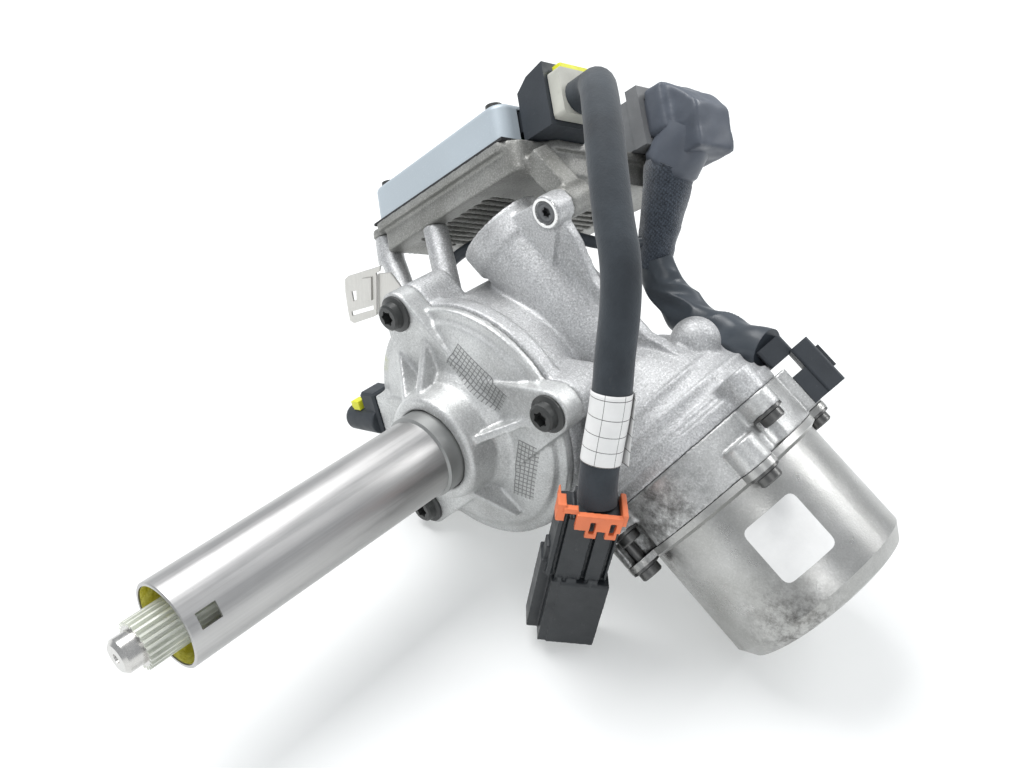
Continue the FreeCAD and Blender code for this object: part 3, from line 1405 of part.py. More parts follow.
parts["motor_can"] = make_motor_can()
parts["motor_screws"] = flange_screws(motor_lug_angles, can_start_x + can_flange_depth, can_flange_depth + 9)
parts["rotor_shaft"] = make_rotor_shaft()
parts["rotor_core"] = make_rotor_core()
parts["rotor_magnets"] = make_rotor_magnets()
parts["stator_core"] = make_stator_core()
parts["stator_windings"] = make_windings()
parts["motor_plug"] = make_motor_plug()
parts["unit_base"] = make_unit_base()
parts["unit_lid"] = make_unit_lid()
parts["lid_screws"] = make_lid_screws()
parts["circuit_board"] = make_circuit_board()
parts["power_header"] = make_power_header()
parts["signal_header"] = make_signal_header()
parts["loom_plug"] = make_loom_plug()
parts["plug_lock"] = make_plug_lock()
parts["lead_plug"] = make_lead_plug()
parts["ear_screw"] = make_ear_screw()
parts["clip_bracket"] = make_clip_bracket()
parts["loom_connector"] = make_loom_connector()
parts["loom"] = make_cord("loom", loom_route, loom_r).cut(parts["loom_connector"])
parts["connector_lock"] = make_connector_lock()
parts["sensor_lead"] = make_cord("sensor_lead", sensor_route, wire_r)
parts["lead_tape"] = make_lead_tape(parts["sensor_lead"])
parts["lead_sleeve"] = make_lead_sleeve(parts["lead_tape"], parts["sensor_lead"])

print("roll", round(math.degrees(roll), 2), "floor", round(floor_z, 2), "centre distance",
      round(centre_distance, 2))
for name, shape in parts.items():
    placed = shape.copy()
    placed.Placement = roll_place.multiply(placed.Placement)
    placed.exportStep(f"parts/{name}.step")
    solids = len(placed.Solids)
    print(name, "solids", solids, "volume", round(placed.Volume), "valid", placed.isValid())
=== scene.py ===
import bmesh
import bpy
import math
from mathutils import Matrix, Vector, noise


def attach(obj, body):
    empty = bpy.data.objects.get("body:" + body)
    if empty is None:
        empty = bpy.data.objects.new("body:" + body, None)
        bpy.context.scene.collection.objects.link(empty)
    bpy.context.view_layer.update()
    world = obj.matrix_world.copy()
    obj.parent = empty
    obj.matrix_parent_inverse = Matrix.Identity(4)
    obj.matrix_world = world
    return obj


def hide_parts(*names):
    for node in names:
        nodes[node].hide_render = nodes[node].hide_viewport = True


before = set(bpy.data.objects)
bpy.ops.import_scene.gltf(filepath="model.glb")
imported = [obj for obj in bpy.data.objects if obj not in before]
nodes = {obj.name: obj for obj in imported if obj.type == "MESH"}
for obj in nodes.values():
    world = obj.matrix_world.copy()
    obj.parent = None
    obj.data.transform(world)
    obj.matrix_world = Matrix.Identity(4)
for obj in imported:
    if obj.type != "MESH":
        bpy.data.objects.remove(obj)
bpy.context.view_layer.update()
print("frame loaded:", len(nodes), "nodes")

# The unit's own drawing directions: column along Y, motor along X, before it is rolled onto the floor
rollAngle = 0.510713
originShift = 0.150
floorLevel = -0.0705


def placed(x, y, z):  # a point of the drawing, in millimetres, to its place in the model
    c, s = math.cos(rollAngle), math.sin(rollAngle)
    return Vector(((x * c + z * s) / 1000, y / 1000 + originShift, (z * c - x * s) / 1000))


def turned(x, y, z):  # a direction of the drawing
    return (placed(x, y, z) - placed(0, 0, 0)).normalized()


unitCorner = Vector((-85.9, 0.5, 91.9))
unitLong = Vector((0.34202, 0.0, 0.93969))
unitWide = Vector((0.38968, 0.90996, -0.14183))
unitUp = Vector((-0.85508, 0.41469, 0.31123))


def onUnit(x, y, z):  # a point in the control unit's own frame, in millimetres
    return placed(*(unitCorner + unitLong * x + unitWide * y + unitUp * z))


wormHeight = 53.7


def onWorm(x, radius, degrees):  # a point round the motor axis: 0 lies on +Y and 90 on +Z
    a = math.radians(degrees)
    return placed(x, radius * math.cos(a), wormHeight + radius * math.sin(a))


# Helpers for objects, meshes and modifiers
sameSpot = 1e-6


def choose(piece):  # selects one object alone and makes it the active one
    bpy.ops.object.select_all(action="DESELECT")
    bpy.context.view_layer.objects.active = piece
    piece.select_set(True)


def newObject(name, data):
    thing = bpy.data.objects.new(name, data)
    bpy.context.scene.collection.objects.link(thing)
    return thing


def newPiece(name, body, material, shape):  # shape is a bmesh, which is let go here
    mesh = bpy.data.meshes.new(name)
    shape.to_mesh(mesh)
    shape.free()
    mesh.materials.append(material)
    piece = newObject(name, mesh)
    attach(piece, body)
    return piece


def applied(piece, name, kind, **settings):  # adds a modifier and applies it
    modifier = piece.modifiers.new(name, kind)
    for setting, value in settings.items():
        setattr(modifier, setting, value)
    choose(piece)
    bpy.ops.object.modifier_apply(modifier=name)


def smoothPiece(piece, angle):
    choose(piece)
    bpy.ops.object.shade_smooth_by_angle(angle=math.radians(angle))
    piece.select_set(False)


def mouldedSkin(piece, voxel, rounds):  # one closed skin, relaxed to the small radii that a mould leaves
    applied(piece, "skin", "REMESH", mode="VOXEL", voxel_size=voxel)
    applied(piece, "relax", "SMOOTH", factor=0.5, iterations=rounds)


# Camera
camera = {
    "place": Vector((0.25839, -0.19498, 0.30305)),
    "right": Vector((0.7628, 0.6451, 0.0435)),
    "ahead": Vector((-0.5071, 0.6386, -0.5788)),
    "lens": 36.02,
}
ahead = camera["ahead"].normalized()
up = camera["right"].cross(ahead).normalized()
right = ahead.cross(up)
turn = Matrix((right, up, -ahead)).transposed().to_4x4()
cameraData = bpy.data.cameras.new("camera")
cameraData.lens = camera["lens"]
cameraData.sensor_width = 36
cameraData.clip_start = 0.01
cameraObject = newObject("camera", cameraData)
cameraObject.matrix_world = Matrix.Translation(camera["place"]) @ turn
bpy.context.scene.camera = cameraObject
print("camera placed")


# Node helpers for materials
def newTree(name):
    material = bpy.data.materials.new(name)
    material.use_nodes = True
    tree = material.node_tree
    tree.nodes.clear()
    output = tree.nodes.new("ShaderNodeOutputMaterial")
    shader = tree.nodes.new("ShaderNodeBsdfPrincipled")
    tree.links.new(shader.outputs[0], output.inputs[0])
    return material, tree, shader


def join(tree, source, target):
    tree.links.new(source, target)


def noiseOf(tree, vector, scale, detail, rough=0.55):
    node = tree.nodes.new("ShaderNodeTexNoise")
    node.inputs["Scale"].default_value = scale
    node.inputs["Detail"].default_value = detail
    node.inputs["Roughness"].default_value = rough
    join(tree, vector, node.inputs["Vector"])
    return node.outputs["Fac"]


def spread(tree, value, low, high, toLow=0.0, toHigh=1.0):
    node = tree.nodes.new("ShaderNodeMapRange")
    node.inputs["From Min"].default_value = low
    node.inputs["From Max"].default_value = high
    node.inputs["To Min"].default_value = toLow
    node.inputs["To Max"].default_value = toHigh
    join(tree, value, node.inputs["Value"])
    return node.outputs["Result"]


def blendColour(tree, share, first, second):
    node = tree.nodes.new("ShaderNodeMix")
    node.data_type = "RGBA"
    join(tree, share, node.inputs["Factor"])
    for value, socket in ((first, node.inputs[6]), (second, node.inputs[7])):
        if isinstance(value, tuple):
            socket.default_value = (*value, 1)
        else:
            join(tree, value, socket)
    return node.outputs[2]


def calc(tree, kind, first, second=0.0):
    node = tree.nodes.new("ShaderNodeMath")
    node.operation = kind
    for value, socket in ((first, node.inputs[0]), (second, node.inputs[1])):
        if isinstance(value, (int, float)):
            socket.default_value = value
        else:
            join(tree, value, socket)
    return node.outputs[0]


def objectPoint(tree, scale=(1, 1, 1)):
    point = tree.nodes.new("ShaderNodeTexCoord")
    mapping = tree.nodes.new("ShaderNodeMapping")
    mapping.inputs["Scale"].default_value = scale
    join(tree, point.outputs["Object"], mapping.inputs["Vector"])
    return mapping.outputs[0]


def bumped(tree, shader, height, depth, strength):
    node = tree.nodes.new("ShaderNodeBump")
    node.inputs["Distance"].default_value = depth
    node.inputs["Strength"].default_value = strength
    join(tree, height, node.inputs["Height"])
    join(tree, node.outputs[0], shader.inputs["Normal"])


# A bare date pad cast into a face: a slanted field of fine crossing lines, with nothing written in it
datePad = {"level": -55.2, "reach": 0.006, "line": 0.24}


def ruledPad(tree, point, corner, alongEnd, acrossEnd, cells):
    origin = placed(corner[0], datePad["level"], corner[1])
    along = placed(alongEnd[0], datePad["level"], alongEnd[1]) - origin
    across = placed(acrossEnd[0], datePad["level"], acrossEnd[1]) - origin
    through = along.cross(across).normalized() * datePad["reach"]
    toField = Matrix((along, across, through)).transposed().inverted()
    shares = []
    for row in toField:
        dot = tree.nodes.new("ShaderNodeVectorMath")
        dot.operation = "DOT_PRODUCT"
        join(tree, point, dot.inputs[0])
        dot.inputs[1].default_value = row
        shares.append(calc(tree, "SUBTRACT", dot.outputs["Value"], row.dot(origin)))
    inside = calc(tree, "LESS_THAN", calc(tree, "ABSOLUTE", shares[2]), 1.0)
    lines = None
    for share, count in zip(shares, cells):
        near = calc(tree, "LESS_THAN", calc(tree, "ABSOLUTE", calc(tree, "SUBTRACT", share, 0.5)), 0.5)
        inside = calc(tree, "MULTIPLY", inside, near)
        cell = calc(tree, "FRACT", calc(tree, "MULTIPLY", share, count))
        line = calc(tree, "LESS_THAN", cell, datePad["line"])
        lines = line if lines is None else calc(tree, "MAXIMUM", lines, line)
    return calc(tree, "MULTIPLY", lines, inside), inside


# Cast alloy with a blasted grain, cloudy tone, patchy dirt, and dark patches and paint dabs at given places
casting = {"grain": 1150.0, "cloud": 34.0, "grainDepth": 0.00030}


def castAlloy(name, light, dark, rough, metal, dirt, grain, spots=(), pads=()):
    material, tree, shader = newTree(name)
    point = objectPoint(tree)
    cloud = spread(tree, noiseOf(tree, point, casting["cloud"], 6), 0.32, 0.68)
    colour = blendColour(tree, cloud, dark, light)
    grit = noiseOf(tree, point, casting["grain"], 3, 0.75)
    speck = spread(tree, grit, 0.50, 0.66, 0.0, 0.55 * grain)
    colour = blendColour(tree, speck, colour, tuple(v * 0.36 for v in light))
    glint = spread(tree, grit, 0.46, 0.34, 0.0, 0.5 * grain)
    colour = blendColour(tree, glint, colour, tuple(min(1.0, v * 1.6) for v in light))
    stain = spread(tree, noiseOf(tree, point, 13.0, 8, 0.68), 0.60, 0.78, 0.0, dirt)
    colour = blendColour(tree, stain, colour, (0.16, 0.145, 0.12))
    for place, reach, depth, tone in spots:
        away = tree.nodes.new("ShaderNodeVectorMath")
        away.operation = "DISTANCE"
        join(tree, point, away.inputs[0])
        away.inputs[1].default_value = place
        near = spread(tree, away.outputs["Value"], reach, reach * 0.25)
        patch = spread(tree, noiseOf(tree, point, 190.0, 8, 0.75), 0.42, 0.66, 0.0, depth)
        colour = blendColour(tree, calc(tree, "MULTIPLY", near, patch), colour, tone)
    height = grit
    for pad in pads:
        lines, inside = ruledPad(tree, point, *pad)
        colour = blendColour(tree, calc(tree, "MULTIPLY", inside, 0.22), colour, (0.20, 0.205, 0.20))
        colour = blendColour(tree, calc(tree, "MULTIPLY", lines, 0.6), colour, (0.10, 0.10, 0.10))
        height = calc(tree, "SUBTRACT", height, calc(tree, "MULTIPLY", lines, 0.8))
    join(tree, colour, shader.inputs["Base Color"])
    shader.inputs["Metallic"].default_value = metal
    roughness = spread(tree, noiseOf(tree, point, 60.0, 5), 0.3, 0.7, rough - 0.08, rough + 0.1)
    join(tree, roughness, shader.inputs["Roughness"])
    bumped(tree, shader, height, casting["grainDepth"] * grain, 0.9)
    return material


# Bright or ground steel, with marks drawn along one direction
def drawnSteel(name, tone, along=(1, 0.015, 1), rough=0.3, metal=1.0, matteFrom=None):
    material, tree, shader = newTree(name)
    point = objectPoint(tree)
    streak = noiseOf(tree, objectPoint(tree, along), 900.0, 5, 0.7)
    cloud = noiseOf(tree, point, 45.0, 6)
    share = spread(tree, streak, 0.3, 0.7)
    colour = blendColour(tree, share, tuple(v * 0.86 for v in tone), tone)
    mark = spread(tree, noiseOf(tree, point, 420.0, 3, 0.8), 0.70, 0.78, 0.0, 0.5)
    colour = blendColour(tree, mark, colour, (0.12, 0.11, 0.10))
    roughness = spread(tree, calc(tree, "ADD", streak, cloud), 0.7, 1.3, rough - 0.06, rough + 0.08)
    if matteFrom is not None:
        split = tree.nodes.new("ShaderNodeSeparateXYZ")
        join(tree, point, split.inputs[0])
        beyond = calc(tree, "GREATER_THAN", split.outputs[1], matteFrom)
        colour = blendColour(tree, beyond, colour, (0.36, 0.365, 0.36))
        roughness = calc(tree, "MAXIMUM", roughness, calc(tree, "MULTIPLY", beyond, 0.5))
    join(tree, colour, shader.inputs["Base Color"])
    join(tree, roughness, shader.inputs["Roughness"])
    shader.inputs["Metallic"].default_value = metal
    bumped(tree, shader, streak, 0.00002, 0.6)
    return material


# Moulded plastic or rubber: fine pebble grain, faint tone change and pale scuffs
def moulded(name, tone, rough=0.5, scuff=0.12, scuffTone=(0.4, 0.4, 0.4), grain=0.00006, clear=0.0):
    material, tree, shader = newTree(name)
    point = objectPoint(tree)
    cloud = spread(tree, noiseOf(tree, point, 60.0, 5), 0.35, 0.65)
    colour = blendColour(tree, cloud, tuple(v * 0.8 for v in tone), tone)
    worn = spread(tree, noiseOf(tree, objectPoint(tree, (1, 3, 1)), 230.0, 6, 0.7), 0.62, 0.78, 0.0, scuff)
    colour = blendColour(tree, worn, colour, scuffTone)
    join(tree, colour, shader.inputs["Base Color"])
    roughness = spread(tree, noiseOf(tree, point, 130.0, 4), 0.3, 0.7, rough - 0.08, rough + 0.1)
    join(tree, roughness, shader.inputs["Roughness"])
    shader.inputs["Coat Weight"].default_value = clear
    bumped(tree, shader, noiseOf(tree, point, 1600.0, 2), grain, 0.7)
    return material


def paintedCover(name, tone):
    material, tree, shader = newTree(name)
    point = objectPoint(tree)
    cloud = spread(tree, noiseOf(tree, point, 22.0, 5), 0.35, 0.65)
    colour = blendColour(tree, cloud, tuple(v * 0.95 for v in tone), tone)
    fleck = spread(tree, noiseOf(tree, point, 1300.0, 2, 0.6), 0.6, 0.75, 0.0, 0.25)
    colour = blendColour(tree, fleck, colour, (0.75, 0.78, 0.80))
    rub = spread(tree, noiseOf(tree, objectPoint(tree, (1, 1, 4)), 160.0, 8, 0.8), 0.66, 0.8, 0.0, 0.35)
    colour = blendColour(tree, rub, colour, (0.34, 0.36, 0.38))
    join(tree, colour, shader.inputs["Base Color"])
    join(tree, spread(tree, cloud, 0, 1, 0.42, 0.52), shader.inputs["Roughness"])
    shader.inputs["Metallic"].default_value = 0.25
    bumped(tree, shader, noiseOf(tree, point, 1500.0, 2), 0.00005, 0.6)
    return material


# Wound cloth tape: crossing threads with loose fibres, read from the piece's own map
def tapeCloth(name):
    material, tree, shader = newTree(name)
    source = tree.nodes.new("ShaderNodeTexCoord")
    point = source.outputs["UV"]
    threads = []
    for turnBy, pitch in ((0.5, 1500.0), (0.5 + math.pi / 2, 1200.0)):
        mapping = tree.nodes.new("ShaderNodeMapping")
        mapping.inputs["Rotation"].default_value = (0, 0, turnBy)
        join(tree, point, mapping.inputs["Vector"])
        wave = tree.nodes.new("ShaderNodeTexWave")
        wave.inputs["Scale"].default_value = pitch / 6.28
        wave.inputs["Distortion"].default_value = 3.0
        wave.inputs["Detail"].default_value = 3.0
        wave.inputs["Detail Scale"].default_value = 2.0
        join(tree, mapping.outputs[0], wave.inputs["Vector"])
        threads.append(wave.outputs["Fac"])
    weave = calc(tree, "MULTIPLY", threads[0], threads[1])
    fuzz = noiseOf(tree, objectPoint(tree, (1, 1, 0.5)), 1100.0, 6, 0.8)
    mix = calc(tree, "ADD", calc(tree, "MULTIPLY", weave, 0.16), calc(tree, "MULTIPLY", fuzz, 0.9))
    colour = blendColour(tree, spread(tree, mix, 0.34, 0.66), (0.010, 0.014, 0.021), (0.085, 0.105, 0.135))
    join(tree, colour, shader.inputs["Base Color"])
    shader.inputs["Roughness"].default_value = 0.95
    shader.inputs["Sheen Weight"].default_value = 0.5
    shader.inputs["Sheen Roughness"].default_value = 0.5
    bumped(tree, shader, mix, 0.0004, 0.9)
    return material


def foamSkin(name):
    material, tree, shader = newTree(name)
    point = objectPoint(tree)
    cloud = spread(tree, noiseOf(tree, point, 42.0, 6, 0.6), 0.3, 0.7)
    colour = blendColour(tree, cloud, (0.015, 0.020, 0.026), (0.036, 0.046, 0.056))
    streaks = noiseOf(tree, objectPoint(tree, (2.5, 2.5, 0.7)), 85.0, 9, 0.75)
    rub = spread(tree, streaks, 0.60, 0.80, 0.0, 0.35)
    colour = blendColour(tree, rub, colour, (0.11, 0.105, 0.095))
    join(tree, colour, shader.inputs["Base Color"])
    shader.inputs["Roughness"].default_value = 0.78
    shader.inputs["Sheen Weight"].default_value = 0.15
    lumps = calc(tree, "MULTIPLY", noiseOf(tree, point, 160.0, 5), 2.0)
    mix = calc(tree, "ADD", noiseOf(tree, point, 1200.0, 3), lumps)
    bumped(tree, shader, mix, 0.00022, 0.7)
    return material


def paperLabel(name, lines):  # white paper with fine rules across it, and nothing written
    material, tree, shader = newTree(name)
    source = tree.nodes.new("ShaderNodeTexCoord")
    split = tree.nodes.new("ShaderNodeSeparateXYZ")
    join(tree, source.outputs["UV"], split.inputs[0])
    ink = None
    for axis, place, width in lines:
        away = calc(tree, "ABSOLUTE", calc(tree, "SUBTRACT", split.outputs[axis], place))
        line = calc(tree, "LESS_THAN", away, width)
        ink = line if ink is None else calc(tree, "MAXIMUM", ink, line)
    point = objectPoint(tree)
    cloud = spread(tree, noiseOf(tree, point, 120.0, 6), 0.3, 0.7)
    colour = blendColour(tree, cloud, (0.78, 0.78, 0.77), (0.86, 0.86, 0.85))
    if ink is not None:
        colour = blendColour(tree, ink, colour, (0.05, 0.05, 0.05))
    join(tree, colour, shader.inputs["Base Color"])
    shader.inputs["Roughness"].default_value = 0.6
    bumped(tree, shader, noiseOf(tree, point, 500.0, 4), 0.00008, 0.6)
    return material


def tinted(name, first, second, scale=300.0, rough=0.4, depth=0.0001):
    material, tree, shader = newTree(name)
    point = objectPoint(tree)
    share = spread(tree, noiseOf(tree, point, scale, 5), 0.35, 0.65)
    join(tree, blendColour(tree, share, first, second), shader.inputs["Base Color"])
    shader.inputs["Roughness"].default_value = rough
    bumped(tree, shader, noiseOf(tree, point, scale * 2.5, 3), depth, 0.8)
    return material


# Dark blotchy patches on the -Y side of the flange and can, mostly below the motor axis, and a paint dab: the
# place, the reach in metres, the depth and the tone of each
darkPatchTone = (0.045, 0.042, 0.038)
flangePatches = (
    (tuple(onWorm(98, 50, 205)), 0.045, 0.95, darkPatchTone),
    (tuple(onWorm(88, 50, 165)), 0.030, 0.7, darkPatchTone),
)
canPatches = (
    (tuple(onWorm(163, 44, 230)), 0.026, 0.75, darkPatchTone),
    (tuple(onWorm(110, 46, 240)), 0.022, 0.65, darkPatchTone),
    (tuple(onWorm(163, 46, 160)), 0.030, 0.8, darkPatchTone),
    (tuple(onWorm(104, 46, 205)), 0.026, 0.6, darkPatchTone),
)
coverDab = ((tuple(placed(-59.5, -45, -22)), 0.011, 0.9, (0.50, 0.56, 0.06)),)
# Date pads on the cover: a corner, the ends along and across in X and Z, and the number of cells each way
coverPads = (
    ((-27.2, 37.9), (7.2, 43.5), (-25.4, 26.3), (15, 6)),
    ((24.0, 30.0), (39.0, -1.4), (32.9, 35.7), (14, 5)),
)
coverAlloy = castAlloy("coverAlloy", (0.68, 0.69, 0.685), (0.47, 0.475, 0.47), 0.40, 0.62, 0.10, 0.62,
                       coverDab, coverPads)
housingAlloy = castAlloy("housingAlloy", (0.62, 0.625, 0.63), (0.44, 0.445, 0.45), 0.42, 0.6, 0.14, 1.0,
                         flangePatches[:1])
adapterAlloy = castAlloy("adapterAlloy", (0.62, 0.625, 0.62), (0.40, 0.405, 0.40), 0.38, 0.68, 0.25, 0.62,
                         flangePatches)
baseAlloy = castAlloy("baseAlloy", (0.36, 0.36, 0.345), (0.22, 0.22, 0.205), 0.46, 0.65, 0.25, 0.8)
canSteel = castAlloy("canSteel", (0.52, 0.52, 0.51), (0.40, 0.40, 0.385), 0.33, 0.85, 0.30, 0.30, canPatches)
tubeSteel = drawnSteel("tubeSteel", (0.52, 0.515, 0.51), rough=0.38, matteFrom=0.0640)
shaftSteel = drawnSteel("shaftSteel", (0.62, 0.61, 0.59), (1, 1, 1), 0.22)
gearSteel = drawnSteel("gearSteel", (0.50, 0.50, 0.51), (1, 1, 1), 0.3)
screwSteel = drawnSteel("screwSteel", (0.15, 0.15, 0.147), (1, 1, 1), 0.36)
sheetSteel = drawnSteel("sheetSteel", (0.62, 0.61, 0.58), (1, 1, 0.1), 0.34, 0.85)
blackBolt = moulded("blackBolt", (0.035, 0.037, 0.036), 0.38, 0.3, (0.16, 0.16, 0.15), 0.00004, 0.2)
darkScrew = drawnSteel("darkScrew", (0.17, 0.175, 0.18), (1, 1, 1), 0.35)
brightCut = drawnSteel("brightCut", (0.86, 0.86, 0.85), (1, 1, 1), 0.24)
blackPlastic = moulded("blackPlastic", (0.017, 0.0205, 0.024), 0.45)
plugPlastic = moulded("plugPlastic", (0.034, 0.041, 0.050), 0.5, 0.12)
greyPlastic = moulded("greyPlastic", (0.20, 0.205, 0.21), 0.55, 0.2, (0.4, 0.39, 0.36))
whitePlastic = moulded("whitePlastic", (0.56, 0.56, 0.50), 0.5, 0.25, (0.22, 0.2, 0.16))
yellowPlastic = moulded("yellowPlastic", (0.80, 0.80, 0.04), 0.45, 0.1, (0.9, 0.9, 0.5))
orangePlastic = moulded("orangePlastic", (0.80, 0.20, 0.075), 0.5, 0.2, (0.9, 0.5, 0.35))
nylonCoat = moulded("nylonCoat", (0.72, 0.74, 0.66), 0.3, 0.2, (0.45, 0.47, 0.36), 0.00005, 0.3)
blackRubber = moulded("blackRubber", (0.02, 0.02, 0.022), 0.65)
coverPaint = paintedCover("coverPaint", (0.47, 0.53, 0.575))
boardMask = tinted("boardMask", (0.01, 0.10, 0.04), (0.02, 0.18, 0.08))
copperWire = tinted("copperWire", (0.45, 0.16, 0.06), (0.62, 0.28, 0.12), 900.0, 0.35)
greaseYellow = tinted("greaseYellow", (0.62, 0.55, 0.04), (0.86, 0.80, 0.16), 240.0, 0.25, 0.0006)
magnetBlack = moulded("magnetBlack", (0.05, 0.05, 0.055), 0.4)
gearNylon = moulded("gearNylon", (0.66, 0.63, 0.52), 0.4)
foam = foamSkin("foamSkin")
cloth = tapeCloth("tapeCloth")
vinyl = moulded("vinylSleeve", (0.058, 0.070, 0.084), 0.38, 0.12, (0.20, 0.22, 0.25), 0.00003)
bootSkin = moulded("bootSkin", (0.098, 0.112, 0.138), 0.42, 0.15, (0.16, 0.16, 0.18), 0.00004)

# Finishes of the construction's nodes: those not named here, such as bearing rings, get gear steel
finishes = {
    "column_tube": tubeSteel, "input_shaft": shaftSteel, "output_shaft": shaftSteel,
    "torsion_bar": shaftSteel, "input_pin": shaftSteel, "output_pin": shaftSteel,
    "spline_sleeve": nylonCoat, "worm_wheel": gearNylon, "front_cover": coverAlloy,
    "gear_housing": housingAlloy, "motor_adapter": adapterAlloy, "unit_base": baseAlloy,
    "motor_can": canSteel, "unit_lid": coverPaint, "circuit_board": boardMask, "clip_bracket": sheetSteel,
    "sensor_magnet": magnetBlack, "rotor_magnets": magnetBlack, "sensor_cup": screwSteel,
    "rotor_core": screwSteel, "stator_core": screwSteel, "stator_windings": copperWire,
    "cover_bolts": blackBolt, "lid_screws": blackBolt, "ear_screw": blackBolt, "lug_screw": darkScrew,
    "adapter_screws": screwSteel, "motor_screws": screwSteel, "output_seal": blackRubber,
    "coupling_spider": blackRubber, "sensor_body": blackPlastic, "sensor_socket": plugPlastic,
    "sensor_plug": plugPlastic, "sensor_lock": yellowPlastic, "motor_plug": plugPlastic,
    "power_header": plugPlastic, "signal_header": greyPlastic, "lead_plug": bootSkin,
    "loom_plug": whitePlastic, "plug_lock": yellowPlastic, "loom_connector": blackPlastic,
    "connector_lock": orangePlastic, "loom": foam, "lead_tape": cloth, "lead_sleeve": vinyl,
    "sensor_lead": vinyl,
}
for name, node in nodes.items():
    node.data.materials.clear()
    node.data.materials.append(finishes.get(name, gearSteel))
    smoothPiece(node, 32)
print("finishes set")


# Castings and soft mouldings get the rounded edges that a mould leaves on them
def softSkin(pieceName, nodeName, slotName, voxel, rounds, most=190000, swell=0.0):
    mesh = nodes[nodeName].data.copy()
    mesh.name = pieceName
    shell = bmesh.new()
    shell.from_mesh(mesh)
    bmesh.ops.remove_doubles(shell, verts=shell.verts, dist=sameSpot)
    shell.to_mesh(mesh)
    shell.free()
    piece = newObject(pieceName, mesh)
    mouldedSkin(piece, voxel, rounds)
    if swell:
        creased(piece.data, swell)
    count = sum(len(face.vertices) - 2 for face in piece.data.polygons)
    if count > most:
        applied(piece, "thin", "DECIMATE", ratio=most / count)
    bpy.ops.object.shade_smooth()
    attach(piece, "housing")
    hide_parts(nodeName)
    print(pieceName, "softened:", count)


# Draws a surface in and out in the folds of a warm-formed sheet
folds = {"pitch": 48.0, "level": 0.30, "finer": 2.7, "fineShare": 0.35}


def creased(mesh, depth):
    shifts = []
    for vertex in mesh.vertices:
        p = vertex.co * folds["pitch"]
        fold = abs(noise.noise(p)) - folds["level"] + folds["fineShare"] * noise.noise(p * folds["finer"])
        shifts.append(vertex.co + vertex.normal * depth * fold)
    for vertex, place in zip(mesh.vertices, shifts):
        vertex.co = place


# Piece, node, slot, voxel in metres, rounds of smoothing, most triangles and the depth of its folds
softened = (
    ("coverCasting", "front_cover", "casting", 0.0009, 4),
    ("gearCasting", "gear_housing", "casting", 0.0010, 4),
    ("adapterCasting", "motor_adapter", "casting", 0.0009, 3),
    ("baseCasting", "unit_base", "casting", 0.0010, 2),
    ("bootedPlug", "lead_plug", "plug_black", 0.0008, 48, 60000, -0.0011),
)
for row in softened:
    softSkin(*row)
print("castings softened")


# Cords: the points of each route, in the drawing's millimetres. The tape and sleeve lie as in the photo
loomRoute = [
    (-75.6, 28.72, 117.95), (-71.8, 28.4, 128.6), (-67.6, 19.6, 136.6), (-58.4, 6.4, 142.2),
    (-44.3, -8.5, 144.1), (-28, -22.6, 142.6), (-9.6, -35, 137.0), (5, -42.3, 132.4), (18.8, -48, 120),
    (30.2, -54, 106.9), (42.2, -59, 94.1), (53.6, -64.5, 77.6), (62.5, -69, 66.5), (69.4, -71, 59.1),
]
tapeRoute = [
    (-34.3, 78.4, 96.4), (-32.3, 76.5, 91.5), (-23.1, 71.8, 80), (-13.1, 66.3, 66.2), (-4.7, 61.5, 55.5),
]
neckRoute = [(-40.2, 86.7, 109.7), (-37.1, 81.9, 103.3), (-33.8, 77.9, 93)]
sleeveRoute = [
    (-7.6, 62.8, 59.7), (2.9, 61.5, 53.6), (14.3, 60.3, 52.9), (28, 55.5, 57.7),
    (39.8, 50.9, 64.9), (52.4, 46.1, 75.6), (65.8, 43.3, 88.2),
]
wireRoute = [
    (-52.22, -36.1, -60.07), (-52.22, -26.1, -60.07), (-56, -15, -61), (-65, -3, -52), (-76, 6, -35),
    (-82, 11, -15), (-80, 16, 5), (-72, 24, 24), (-58, 33, 40), (-42, 40, 49), (-30, 46, 54), (-21, 54, 60),
    (-14, 62, 67),
]


def routeCurve(name, route, radius=0.0):
    data = bpy.data.curves.new(name, "CURVE")
    data.dimensions = "3D"
    spline = data.splines.new("NURBS")
    spline.points.add(len(route) - 1)
    for point, place in zip(spline.points, route):
        point.co = (*placed(*place), 1)
    spline.order_u = 3
    spline.use_endpoint_u = True
    spline.resolution_u = 12
    data.bevel_depth = radius
    data.bevel_resolution = 8
    data.use_fill_caps = True
    return newObject(name, data)


def curvePiece(name, route, radius, material):
    piece = routeCurve(name, route, radius)
    piece.data.materials.append(material)
    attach(piece, "housing")
    return piece


def routeLine(route):  # points read from the route's own spline
    guide = routeCurve("guide", route)
    bpy.context.view_layer.update()
    mesh = bpy.data.meshes.new_from_object(guide)
    line = [v.co.copy() for v in mesh.vertices]
    bpy.data.meshes.remove(mesh)
    bpy.data.objects.remove(guide)
    return line


# A skin round a line, open where its arc isn't a full turn. Its radius comes from the run, the angle and the
# whole length, and its map is in metres
mapWidth = 0.070
fullTurn = (0.0, 1.0)


